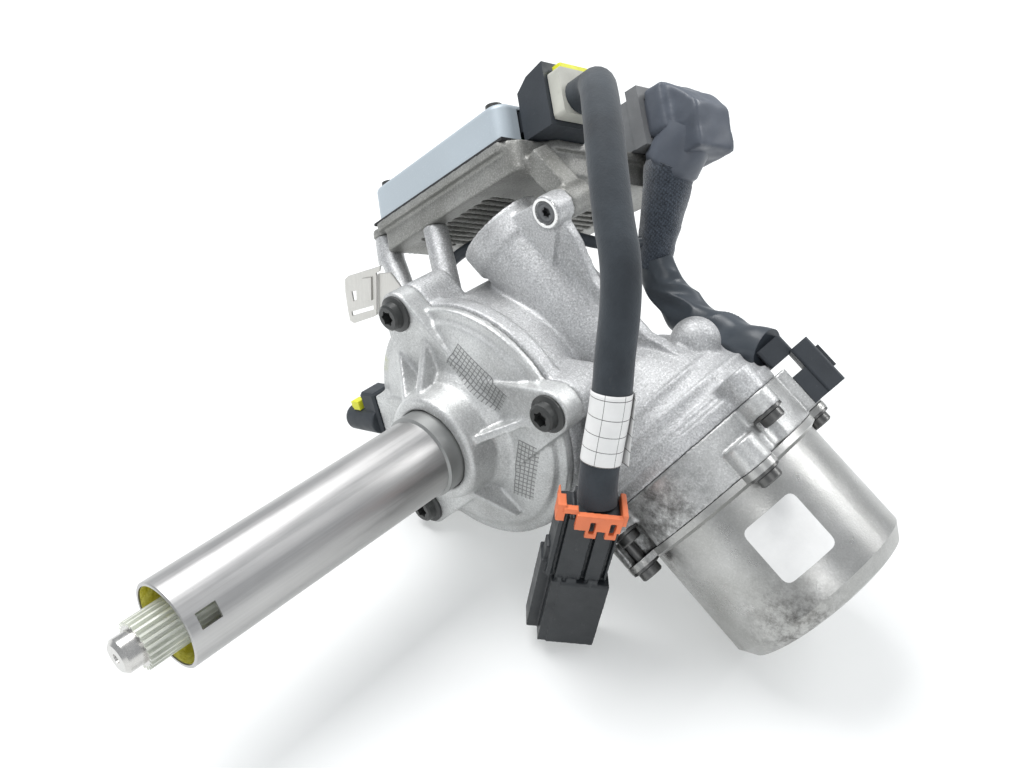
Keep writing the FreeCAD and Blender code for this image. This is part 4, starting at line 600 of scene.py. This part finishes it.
def tubeAlong(name, line, radiusAt, around, material, arc=fullTurn):
    closed = arc == fullTurn
    lengths = [0.0]
    for a, b in zip(line, line[1:]):
        lengths.append(lengths[-1] + (b - a).length)
    side = Vector((0, 0, 1)).cross(line[1] - line[0]).normalized()
    mesh = bmesh.new()
    uvLayer = mesh.loops.layers.uv.new("map")
    rings = []
    places = {}
    columns = around if closed else around + 1
    for k, point in enumerate(line):
        ahead = (line[min(k + 1, len(line) - 1)] - line[max(k - 1, 0)]).normalized()
        side = (side - ahead * side.dot(ahead)).normalized()
        over = ahead.cross(side)
        ring = []
        for j in range(columns):
            share = arc[0] + (arc[1] - arc[0]) * j / around
            a = 2 * math.pi * share
            radius = radiusAt(lengths[k], a, lengths[-1])
            vertex = mesh.verts.new(point + (side * math.cos(a) + over * math.sin(a)) * radius)
            places[vertex] = (share, lengths[k])
            ring.append(vertex)
        rings.append(ring)
    for first, second in zip(rings, rings[1:]):
        for j in range(around):
            n = (j + 1) % columns
            face = mesh.faces.new((first[j], first[n], second[n], second[j]))
            for loop in face.loops:
                share, run = places[loop.vert]
                if n == 0 and loop.vert in (first[0], second[0]):
                    share = 1.0
                loop[uvLayer].uv = (share * mapWidth, run)
    if closed:
        mesh.faces.new(list(reversed(rings[0])))
        mesh.faces.new(rings[-1])
    piece = newPiece(name, "housing", material, mesh)
    smoothPiece(piece, 60)
    return piece


# Moulded pieces: blocks and round rods joined into one skin, with the small radii of a mould
blockSides = ((3, 2, 1, 0), (4, 5, 6, 7), (0, 1, 5, 4), (1, 2, 6, 5), (2, 3, 7, 6), (3, 0, 4, 7))


def mouldedBlocks(name, body, material, blocks, toWorld, voxel, rounds=2, rods=()):
    mesh = bmesh.new()
    for x0, y0, z0, x1, y1, z1 in blocks:
        corners = []
        for z in (z0, z1):
            for x, y in ((x0, y0), (x1, y0), (x1, y1), (x0, y1)):
                corners.append(mesh.verts.new(toWorld(x, y, z)))
        for side in blockSides:
            mesh.faces.new([corners[k] for k in side])
    for first, last, radius, tip in rods:
        start, end = toWorld(*first), toWorld(*last)
        facing = (end - start).to_track_quat("Z", "Y").to_matrix().to_4x4()
        middle = Matrix.Translation((start + end) / 2)
        bmesh.ops.create_cone(mesh, cap_ends=True, segments=40, radius1=radius / 1000, radius2=tip / 1000,
                              depth=(end - start).length, matrix=middle @ facing)
    bmesh.ops.recalc_face_normals(mesh, faces=mesh.faces)
    piece = newPiece(name, body, material, mesh)
    mouldedSkin(piece, voxel, rounds)
    bpy.ops.object.shade_smooth()
    return piece


# Connector at the loom's loose end, in its own frame: X across, Y towards the face with the lock, Z down it
connector = {
    "top": Vector((69.4, -71.0, 59.1)), "foot": Vector((102.6, -73.0, -18.9)),
    "across": Vector((0.7069, 0.6483, 0.283)), "length": 81.5,
}
connectorAxis = (connector["foot"] - connector["top"]).normalized()
connectorAcross = (connector["across"] - connectorAxis * connector["across"].dot(connectorAxis)).normalized()
connectorFace = connectorAxis.cross(connectorAcross)


def onConnector(x, y, z):
    return placed(*(connector["top"] + connectorAcross * x + connectorFace * y + connectorAxis * z))


foot = connector["length"]
bodyBlocks = [
    (-9, -8, -1.5, 9, 8, 4), (-15.5, -8, 2, 10.8, 4.4, 41.5), (-15.5, 4, 3, -13.5, 6.6, 40),
    (-11.6, 4, 3, -6.6, 7.2, 40), (-6.0, 4, 3, -0.5, 7.2, 40), (1.4, 4, 3, 8.0, 7.2, 40),
    (9.8, 4, 3, 10.9, 6.6, 40), (-12.7, 6.2, 41, 12.8, 8.5, foot), (-12.7, -9.0, 41, 12.8, -6.8, foot),
    (-12.7, -9.0, 41, -10.5, 8.5, foot), (10.6, -9.0, 41, 12.8, 8.5, foot),
    (-12.7, -9.0, 41, 12.8, 8.5, foot - 16), (-8.8, 8.0, 41.8, 12.9, 9.1, foot),
    (-18.0, -9.0, 35, -12.2, 2.6, foot - 2), (-17.0, -6.0, 27, -13.0, 1.4, 36),
    (-6.5, 6.8, 38.5, -2.0, 8.3, 42), (3.0, 6.8, 38.5, 7.5, 8.3, 42), (-10.6, 6.8, 38.2, -8.4, 8.2, 42),
]
connectorBody = mouldedBlocks("connectorBody", "housing", blackPlastic, bodyBlocks,
                              onConnector, 0.00045)
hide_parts("loom_connector")
lockBlocks = [
    (-9.5, 8.6, -3.0, 9.8, 11.4, 0.2), (-9.5, 8.6, -1, -3.3, 11.4, 5.2), (-1.0, 8.6, -1, 5.1, 11.4, 5.2),
    (7.6, 8.6, -1, 9.8, 11.4, 5.2), (-4.5, 8.8, 4.0, -3.2, 10.8, 10.0), (-1.0, 8.8, 4.0, 0.3, 10.8, 10.0),
    (-4.5, 8.8, 7.4, 0.3, 10.8, 10.0), (3.9, 8.8, 4.0, 5.2, 10.8, 9.8), (7.4, 8.8, 4.0, 8.7, 10.8, 9.8),
    (3.9, 8.8, 7.2, 8.7, 10.8, 9.8), (-17.6, 1.5, -5.5, -14.0, 8.6, 3.6),
    (-16.6, -5.0, -4.0, -15.8, 4.0, 1.5), (-15.0, 6.6, -4.4, -9.0, 9.6, -1.8),
    (9.2, -3.0, -4.6, 11.6, 10.6, 1.6),
]
connectorLock = mouldedBlocks("connectorLock", "connector_lock", orangePlastic, lockBlocks,
                              onConnector, 0.0003, 4)
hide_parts("connector_lock")
print("connector made")

# Sensor plug: a round boot that lies along the plug, a neck for its lead, and a yellow wedge that locks it
sensorAngle = math.radians(229)


def onSensor(out, y, across):  # distance out from the column, place along it, and place across the plug
    c, s = math.cos(sensorAngle), math.sin(sensorAngle)
    return placed(c * out - s * across, y, s * out + c * across)


bootRods = [
    ((63, -54, 5), (84.4, -54, 5), 7.0, 7.0), ((84.2, -54, 5), (86.2, -54, 5), 7.0, 6.0),
    ((86.0, -54, 5), (87.4, -54, 5), 6.0, 3.6), ((79.6, -50, 2.5), (79.6, -35.9, 0), 5.2, 4.0),
]
bootBlocks = [(72.7, -54, -8.5, 76.5, -42.5, 9), (72.7, -50, -3, 85, -44, 9)]
sensorBoot = mouldedBlocks("sensorBoot", "housing", plugPlastic, bootBlocks,
                           onSensor, 0.0005, 5, bootRods)
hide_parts("sensor_plug")
wedgeBlocks = [(73.6, -58.4, -6.6, 79.0, -52.6, -1.4), (78, -57.2, -5.4, 81.6, -53.6, -1.4)]
sensorWedge = mouldedBlocks("sensorWedge", "sensor_lock", yellowPlastic, wedgeBlocks,
                            onSensor, 0.0004, 5)
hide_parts("sensor_lock")
print("sensor plug made")

# Loom: a stiff foam tube that stands free in its arch and carries the connector
loomShape = {"radius": 0.00825, "exit": placed(*loomRoute[0])}
loomPiece = curvePiece("loomTube", loomRoute, loomShape["radius"], foam)
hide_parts("loom")

# Tape wound over the motor lead in a spiral of turns
tapeShape = {"start": 0.0136, "end": 0.0088, "wind": 0.0105, "fold": 0.0003, "lump": 0.0008}


def tapeRadius(run, a, whole):
    spiral = ((run / tapeShape["wind"]) - a / (2 * math.pi)) % 1.0
    lump = tapeShape["lump"] * noise.noise(Vector((math.cos(a) * 1.3, math.sin(a) * 1.3, run * 90)))
    narrowing = min(1.0, run / whole) ** 0.75
    smooth = tapeShape["start"] + (tapeShape["end"] - tapeShape["start"]) * narrowing
    return smooth + tapeShape["fold"] * (1 - spiral) + lump


tapePiece = tubeAlong("windingTape", routeLine(tapeRoute), tapeRadius, 72, cloth)
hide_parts("lead_tape")

# Neck of the plug's shrunk cover, drawn in folds round the top of the tape
neckShape = {"radius": 0.0146, "fold": 0.0012, "lip": 0.0012, "lipLength": 0.002}


def neckRadius(run, a, whole):
    fold = neckShape["fold"] * noise.noise(Vector((math.cos(a) * 2.2, math.sin(a) * 2.2, run * 40)))
    lip = neckShape["lip"] * max(0.0, 1 - (whole - run) / neckShape["lipLength"])
    return neckShape["radius"] + fold - lip


tubeAlong("plugNeck", routeLine(neckRoute), neckRadius, 72, bootSkin)

# Vinyl sleeve: a little flat, creased along, and drawn in at its ends
sleeveShape = {"radius": 0.0108, "flat": 0.10, "crease": 0.00528, "drawnIn": 0.12}


def sleeveRadius(run, a, whole):
    p = Vector((math.cos(a + run * 30) * 0.8, math.sin(a + run * 30) * 0.8, run * 32))
    crease = sleeveShape["crease"] * abs(noise.noise(p))
    ends = min(1.0, 6 * run / whole, 4 * (whole - run) / whole)
    share = 1.0 - sleeveShape["flat"] * math.cos(2 * a + run * 20) - sleeveShape["drawnIn"] * (1 - ends)
    return sleeveShape["radius"] * share - crease * ends


sleevePiece = tubeAlong("vinylSleeve", routeLine(sleeveRoute), sleeveRadius, 96, vinyl)
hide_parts("lead_sleeve")

# Thin lead of the torque sensor
wireRadius = 0.0031
wirePiece = curvePiece("sensorWire", wireRoute, wireRadius, vinyl)
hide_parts("sensor_lead")
print("cords laid")


# Paper wrap on the loom: bare ruled paper whose overlapped edge has lifted
wrap = {"from": 0.775, "to": 0.912, "turns": 1.04, "stand": 0.00025, "thickness": 0.00012}
wrapLift = {"height": 0.004, "from": 0.93, "over": 0.12, "least": 0.35}
rule = {"width": 0.00014, "across": (0.0022, 0.0100, 0.0172, 0.0240, 0.0305),
        "along": (0.14, 0.30, 0.66, 0.86)}
loomLine = routeLine(loomRoute)
wrapLine = loomLine[int(len(loomLine) * wrap["from"]):int(len(loomLine) * wrap["to"])]


def wrapRadius(run, a, whole):
    lifted = max(0.0, a / (2 * math.pi) - wrapLift["from"]) / wrapLift["over"]
    curl = wrapLift["height"] * lifted ** 2 * (wrapLift["least"] + (1 - wrapLift["least"]) * run / whole)
    return loomShape["radius"] + wrap["stand"] + curl


rules = [(1, run, rule["width"]) for run in rule["across"]]
rules += [(0, mapWidth * share, rule["width"]) for share in rule["along"]]
wrapPaper = paperLabel("wrapPaper", rules)
wrapPiece = tubeAlong("loomWrap", wrapLine, wrapRadius, 60, wrapPaper, (0.0, wrap["turns"]))
applied(wrapPiece, "thickness", "SOLIDIFY", thickness=wrap["thickness"], offset=1)
print("loom wrap made")


# Bare plate with rounded corners, bent to the can's round wall. Its cut is a corner's share of a side
canPlate = {"x": 131.0, "angle": 130.2, "radius": 0.0457, "width": 0.0282, "height": 0.0276, "stand": 0.00015,
            "thickness": 0.0002, "cut": 0.12, "steps": 16}


def wallPlate(name, plate, material):
    radius = plate["radius"]
    cut = plate["cut"]
    steps = plate["steps"]
    place = onWorm(plate["x"], radius * 1000, plate["angle"])
    outward = (onWorm(0, 10, plate["angle"]) - onWorm(0, 0, 0)).normalized()
    across = turned(1, 0, 0)
    across = (across - outward * across.dot(outward)).normalized()
    along = outward.cross(across)
    mesh = bmesh.new()
    uvLayer = mesh.loops.layers.uv.new("map")
    grid = []
    for i in range(steps + 1):
        row = []
        for j in range(steps + 1):
            u = -0.5 + i / steps
            v = -0.5 + j / steps
            corner = max(0.0, abs(u) - (0.5 - cut)) ** 2 + max(0.0, abs(v) - (0.5 - cut)) ** 2
            if corner > cut ** 2:
                pull = cut / math.sqrt(corner)
                u = math.copysign(0.5 - cut + max(0.0, abs(u) - 0.5 + cut) * pull, u)
                v = math.copysign(0.5 - cut + max(0.0, abs(v) - 0.5 + cut) * pull, v)
            bend = v * plate["height"] / radius
            point = place + across * (u * plate["width"]) + along * (radius * math.sin(bend))
            point += outward * (radius * (math.cos(bend) - 1) + plate["stand"])
            row.append((mesh.verts.new(point), (u + 0.5, v + 0.5)))
        grid.append(row)
    for i in range(steps):
        for j in range(steps):
            corners = (grid[i][j], grid[i + 1][j], grid[i + 1][j + 1], grid[i][j + 1])
            face = mesh.faces.new([vertex for vertex, spot in corners])
            for loop, (vertex, spot) in zip(face.loops, corners):
                loop[uvLayer].uv = spot
    piece = newPiece(name, "housing", material, mesh)
    applied(piece, "thickness", "SOLIDIFY", thickness=plate["thickness"], offset=-1)
    smoothPiece(piece, 40)


wallPlate("canPlate", canPlate, paperLabel("platePaper", []))
print("can plate made")


# Sheet-steel clip bracket: a flat plate with two slots and a raised pad, and a set-back tab into the casting
bracket = {"front": -42.0, "sheet": 1.1, "edge": 0.25, "padProud": 0.9, "pad": 1.0, "tabBack": 1.0}
plateEdge = [
    (-102.2, -12.8), (-101.2, -8.9), (-87.6, 16.1), (-86.6, 12.9), (-87.9, 9.6), (-86.8, 8.9), (-76.4, -11.8),
    (-77.4, -14.8), (-85.5, -31.5), (-88.3, -32.8), (-91.8, -29.0), (-98.7, -19.7),
]
plateSlot = [(-95.4, -15.3), (-93.2, -11.9), (-90.6, -16.9), (-92.0, -19.3)]
plateLongSlot = [(-90.0, -26.6), (-80.6, -8.9), (-79.4, -10.9), (-88.6, -28.4)]
padEdge = [(-93.0, -0.5), (-88.7, 6.0), (-82.5, -6.2), (-86.5, -12.2)]
tabEdge = [(-87.2, 9.6), (-81.6, 17.4), (-61.0, 15.0), (-59.0, 3.0), (-76.0, -12.6)]


def sheetMesh(outlines, front, thick):  # flat outlines in X and Z of the drawing, given a thickness along Y
    flat = bpy.data.curves.new("flat", "CURVE")
    flat.dimensions = "2D"
    flat.fill_mode = "BOTH"
    for outline in outlines:
        spline = flat.splines.new("POLY")
        spline.points.add(len(outline) - 1)
        for point, (x, z) in zip(spline.points, outline):
            point.co = (x, z, 0, 1)
        spline.use_cyclic_u = True
    flat.extrude = thick / 2 - bracket["edge"]
    flat.bevel_depth = bracket["edge"]
    flat.bevel_resolution = 2
    flat.offset = -bracket["edge"]
    thing = newObject("flat", flat)
    bpy.context.view_layer.update()
    mesh = bpy.data.meshes.new_from_object(thing)
    bpy.data.objects.remove(thing)
    for vertex in mesh.vertices:
        vertex.co = placed(vertex.co.x, front + thick / 2 - vertex.co.z, vertex.co.y)
    return mesh


def joinedPiece(name, material, meshes):
    whole = bmesh.new()
    for mesh in meshes:
        whole.from_mesh(mesh)
        bpy.data.meshes.remove(mesh)
    bmesh.ops.remove_doubles(whole, verts=whole.verts, dist=sameSpot)
    bmesh.ops.recalc_face_normals(whole, faces=whole.faces)
    piece = newPiece(name, "housing", material, whole)
    smoothPiece(piece, 35)
    return piece


bracketSheets = [
    sheetMesh([plateEdge, plateSlot, plateLongSlot], bracket["front"], bracket["sheet"]),
    sheetMesh([padEdge], bracket["front"] - bracket["padProud"], bracket["pad"]),
    sheetMesh([tabEdge], bracket["front"] + bracket["tabBack"], bracket["sheet"]),
]
bracketPiece = joinedPiece("clipBracket", sheetSteel, bracketSheets)
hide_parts("clip_bracket")
print("bracket made")


# Screw in the top lug, sunk in a bright machined ring. Both are made of rings: a radius, a place along Y and
# the depth of six lobes
lug = {"x": -43.0, "z": 92.2, "face": -12.0, "ringIn": 5.35, "ringOut": 7.2, "proud": 0.28, "sunk": 0.5}


def ringedPiece(name, material, rings, capped, around=72):
    mesh = bmesh.new()
    loops = []
    for radius, depth, lobe in rings:
        ring = []
        for k in range(around):
            a = 2 * math.pi * k / around
            r = radius * (1 - lobe * (0.5 + 0.5 * math.cos(6 * a)))
            ring.append(mesh.verts.new(placed(lug["x"] + r * math.cos(a), depth, lug["z"] + r * math.sin(a))))
        loops.append(ring)
    for first, second in zip(loops, loops[1:]):
        for k in range(around):
            n = (k + 1) % around
            mesh.faces.new((first[k], first[n], second[n], second[k]))
    if capped:
        mesh.faces.new(loops[0])
        mesh.faces.new(list(reversed(loops[-1])))
    else:
        bmesh.ops.remove_doubles(mesh, verts=mesh.verts, dist=sameSpot)
    bmesh.ops.recalc_face_normals(mesh, faces=mesh.faces)
    piece = newPiece(name, "housing", material, mesh)
    smoothPiece(piece, 30)
    return piece


face = lug["face"]
screwRings = [
    (2.0, face + 3.2, 0.26), (2.35, face + 0.9, 0.24), (2.75, face + 0.55, 0.10), (3.9, face + 0.45, 0.0),
    (4.5, face, 0.0), (5.0, face + 0.05, 0.0), (5.2, face + 0.5, 0.0), (5.2, face + 1.0, 0.0),
    (3.0, face + 4.0, 0.0), (3.0, face + 24.0, 0.0),
]
lugScrew = ringedPiece("lugScrew", darkScrew, screwRings, True)
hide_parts("lug_screw")
proud = face - lug["proud"]
sunk = face + lug["sunk"]
ringRings = [
    (lug["ringIn"], sunk, 0), (lug["ringIn"] + 0.35, proud, 0), (lug["ringOut"] - 0.3, proud, 0),
    (lug["ringOut"], face - 0.05, 0), (lug["ringOut"], sunk, 0), (lug["ringIn"], sunk, 0),
]
ringedPiece("lugRing", brightCut, ringRings, False)
print("lug screw made")


# Gasket line between the control unit's cover and its base
gasket = {"left": -117.2, "right": -0.8, "near": 0.8, "far": 113.2, "corner": 8.6, "low": -0.3, "high": 1.1}
bpy.ops.object.select_all(action="DESELECT")
bpy.ops.mesh.primitive_cube_add(size=1)
gasketPiece = bpy.context.active_object
gasketPiece.name = "unitGasket"
middle = ((gasket["left"] + gasket["right"]) / 2, (gasket["near"] + gasket["far"]) / 2,
          (gasket["low"] + gasket["high"]) / 2)
size = (gasket["right"] - gasket["left"], gasket["far"] - gasket["near"], gasket["high"] - gasket["low"])
gasketPiece.data.transform(Matrix.Diagonal((*size, 1)))
bpy.ops.object.mode_set(mode="EDIT")
gasketMesh = bmesh.from_edit_mesh(gasketPiece.data)
for edge in gasketMesh.edges:
    a, b = (v.co for v in edge.verts)
    edge.select = abs(a.x - b.x) < 0.001 and abs(a.y - b.y) < 0.001
gasketMesh.select_flush_mode()
bmesh.update_edit_mesh(gasketPiece.data)
bpy.ops.mesh.bevel(offset=gasket["corner"], offset_type="OFFSET", segments=10, affect="EDGES")
bpy.ops.object.mode_set(mode="OBJECT")
for vertex in gasketPiece.data.vertices:
    vertex.co = onUnit(vertex.co.x + middle[0], vertex.co.y + middle[1], vertex.co.z + middle[2])
gasketPiece.data.materials.append(blackRubber)
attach(gasketPiece, "housing")
smoothPiece(gasketPiece, 30)
print("gasket made")

# Grease inside the tube's mouth, in three smears
grease = {"radius": 17.35, "from": -220.4, "depth": 13.0, "rows": 10, "columns": 22, "thickness": 0.0001}


def greaseSmear(name, first, last):
    rows = grease["rows"]
    columns = grease["columns"]
    mesh = bmesh.new()
    grid = []
    for i in range(rows + 1):
        row = []
        for j in range(columns + 1):
            share = j / columns
            a = math.radians(first + (last - first) * share)
            edge = 0.35 + 0.65 * math.sin(math.pi * share) + 0.35 * noise.noise(Vector((share * 6, first, 0)))
            y = grease["from"] + grease["depth"] * max(0.1, edge) * i / rows
            lump = 0.35 + 0.55 * noise.noise(Vector((math.cos(a) * 4, math.sin(a) * 4, y * 0.35)))
            r = grease["radius"] - max(0.05, lump) * math.sin(math.pi * min(1.0, 0.08 + i / rows))
            row.append(mesh.verts.new(placed(r * math.cos(a), y, r * math.sin(a))))
        grid.append(row)
    for i in range(rows):
        for j in range(columns):
            mesh.faces.new((grid[i][j], grid[i][j + 1], grid[i + 1][j + 1], grid[i + 1][j]))
    bmesh.ops.recalc_face_normals(mesh, faces=mesh.faces)
    piece = newPiece(name, "housing", greaseYellow, mesh)
    applied(piece, "thickness", "SOLIDIFY", thickness=grease["thickness"])
    smoothPiece(piece, 60)


greaseSmear("greaseLeft", 150, 235)
greaseSmear("greaseRight", -95, 20)
greaseSmear("greaseTop", 95, 135)
print("grease made")

# Floor and light
stage = {"floor": 6, "glow": 0.36, "glowTone": (0.98, 1.0, 0.99, 1), "sky": 0.56,
         "skyTone": (0.93, 0.96, 1.0, 1)}
lampTarget = Vector((0, 0.1, 0))
lamps = (
    ("keyLight", (-0.7, 0.1, 1.5), (1.3, 0.9), 27),
    ("fillLight", (1.2, -0.9, 0.9), (0.5, 0.7), 4),
    ("backLight", (0.5, 1.4, 1.2), (1.2, 0.4), 12),
)
bpy.ops.object.select_all(action="DESELECT")
bpy.ops.mesh.primitive_plane_add(size=stage["floor"], location=(0, 0, floorLevel))
floor = bpy.context.active_object
floor.name = "floor"
floorWhite = tinted("floorWhite", (0.58, 0.585, 0.585), (0.62, 0.625, 0.625), 6.0, 0.7, 0.00005)
for node in floorWhite.node_tree.nodes:
    if node.type == "BSDF_PRINCIPLED":
        node.inputs["Emission Color"].default_value = stage["glowTone"]
        node.inputs["Emission Strength"].default_value = stage["glow"]
floor.data.materials.append(floorWhite)


def softLight(name, place, size, power):
    data = bpy.data.lights.new(name, "AREA")
    data.shape = "RECTANGLE"
    data.size, data.size_y = size
    data.energy = power
    lamp = newObject(name, data)
    lamp.location = place
    lamp.rotation_euler = (lampTarget - Vector(place)).to_track_quat("-Z", "Y").to_euler()


for row in lamps:
    softLight(*row)
world = bpy.data.worlds.new("studio")
world.use_nodes = True
background = world.node_tree.nodes["Background"]
background.inputs[0].default_value = stage["skyTone"]
background.inputs[1].default_value = stage["sky"]
bpy.context.scene.world = world
bpy.context.scene.view_settings.view_transform = "Standard"
print("stage set")
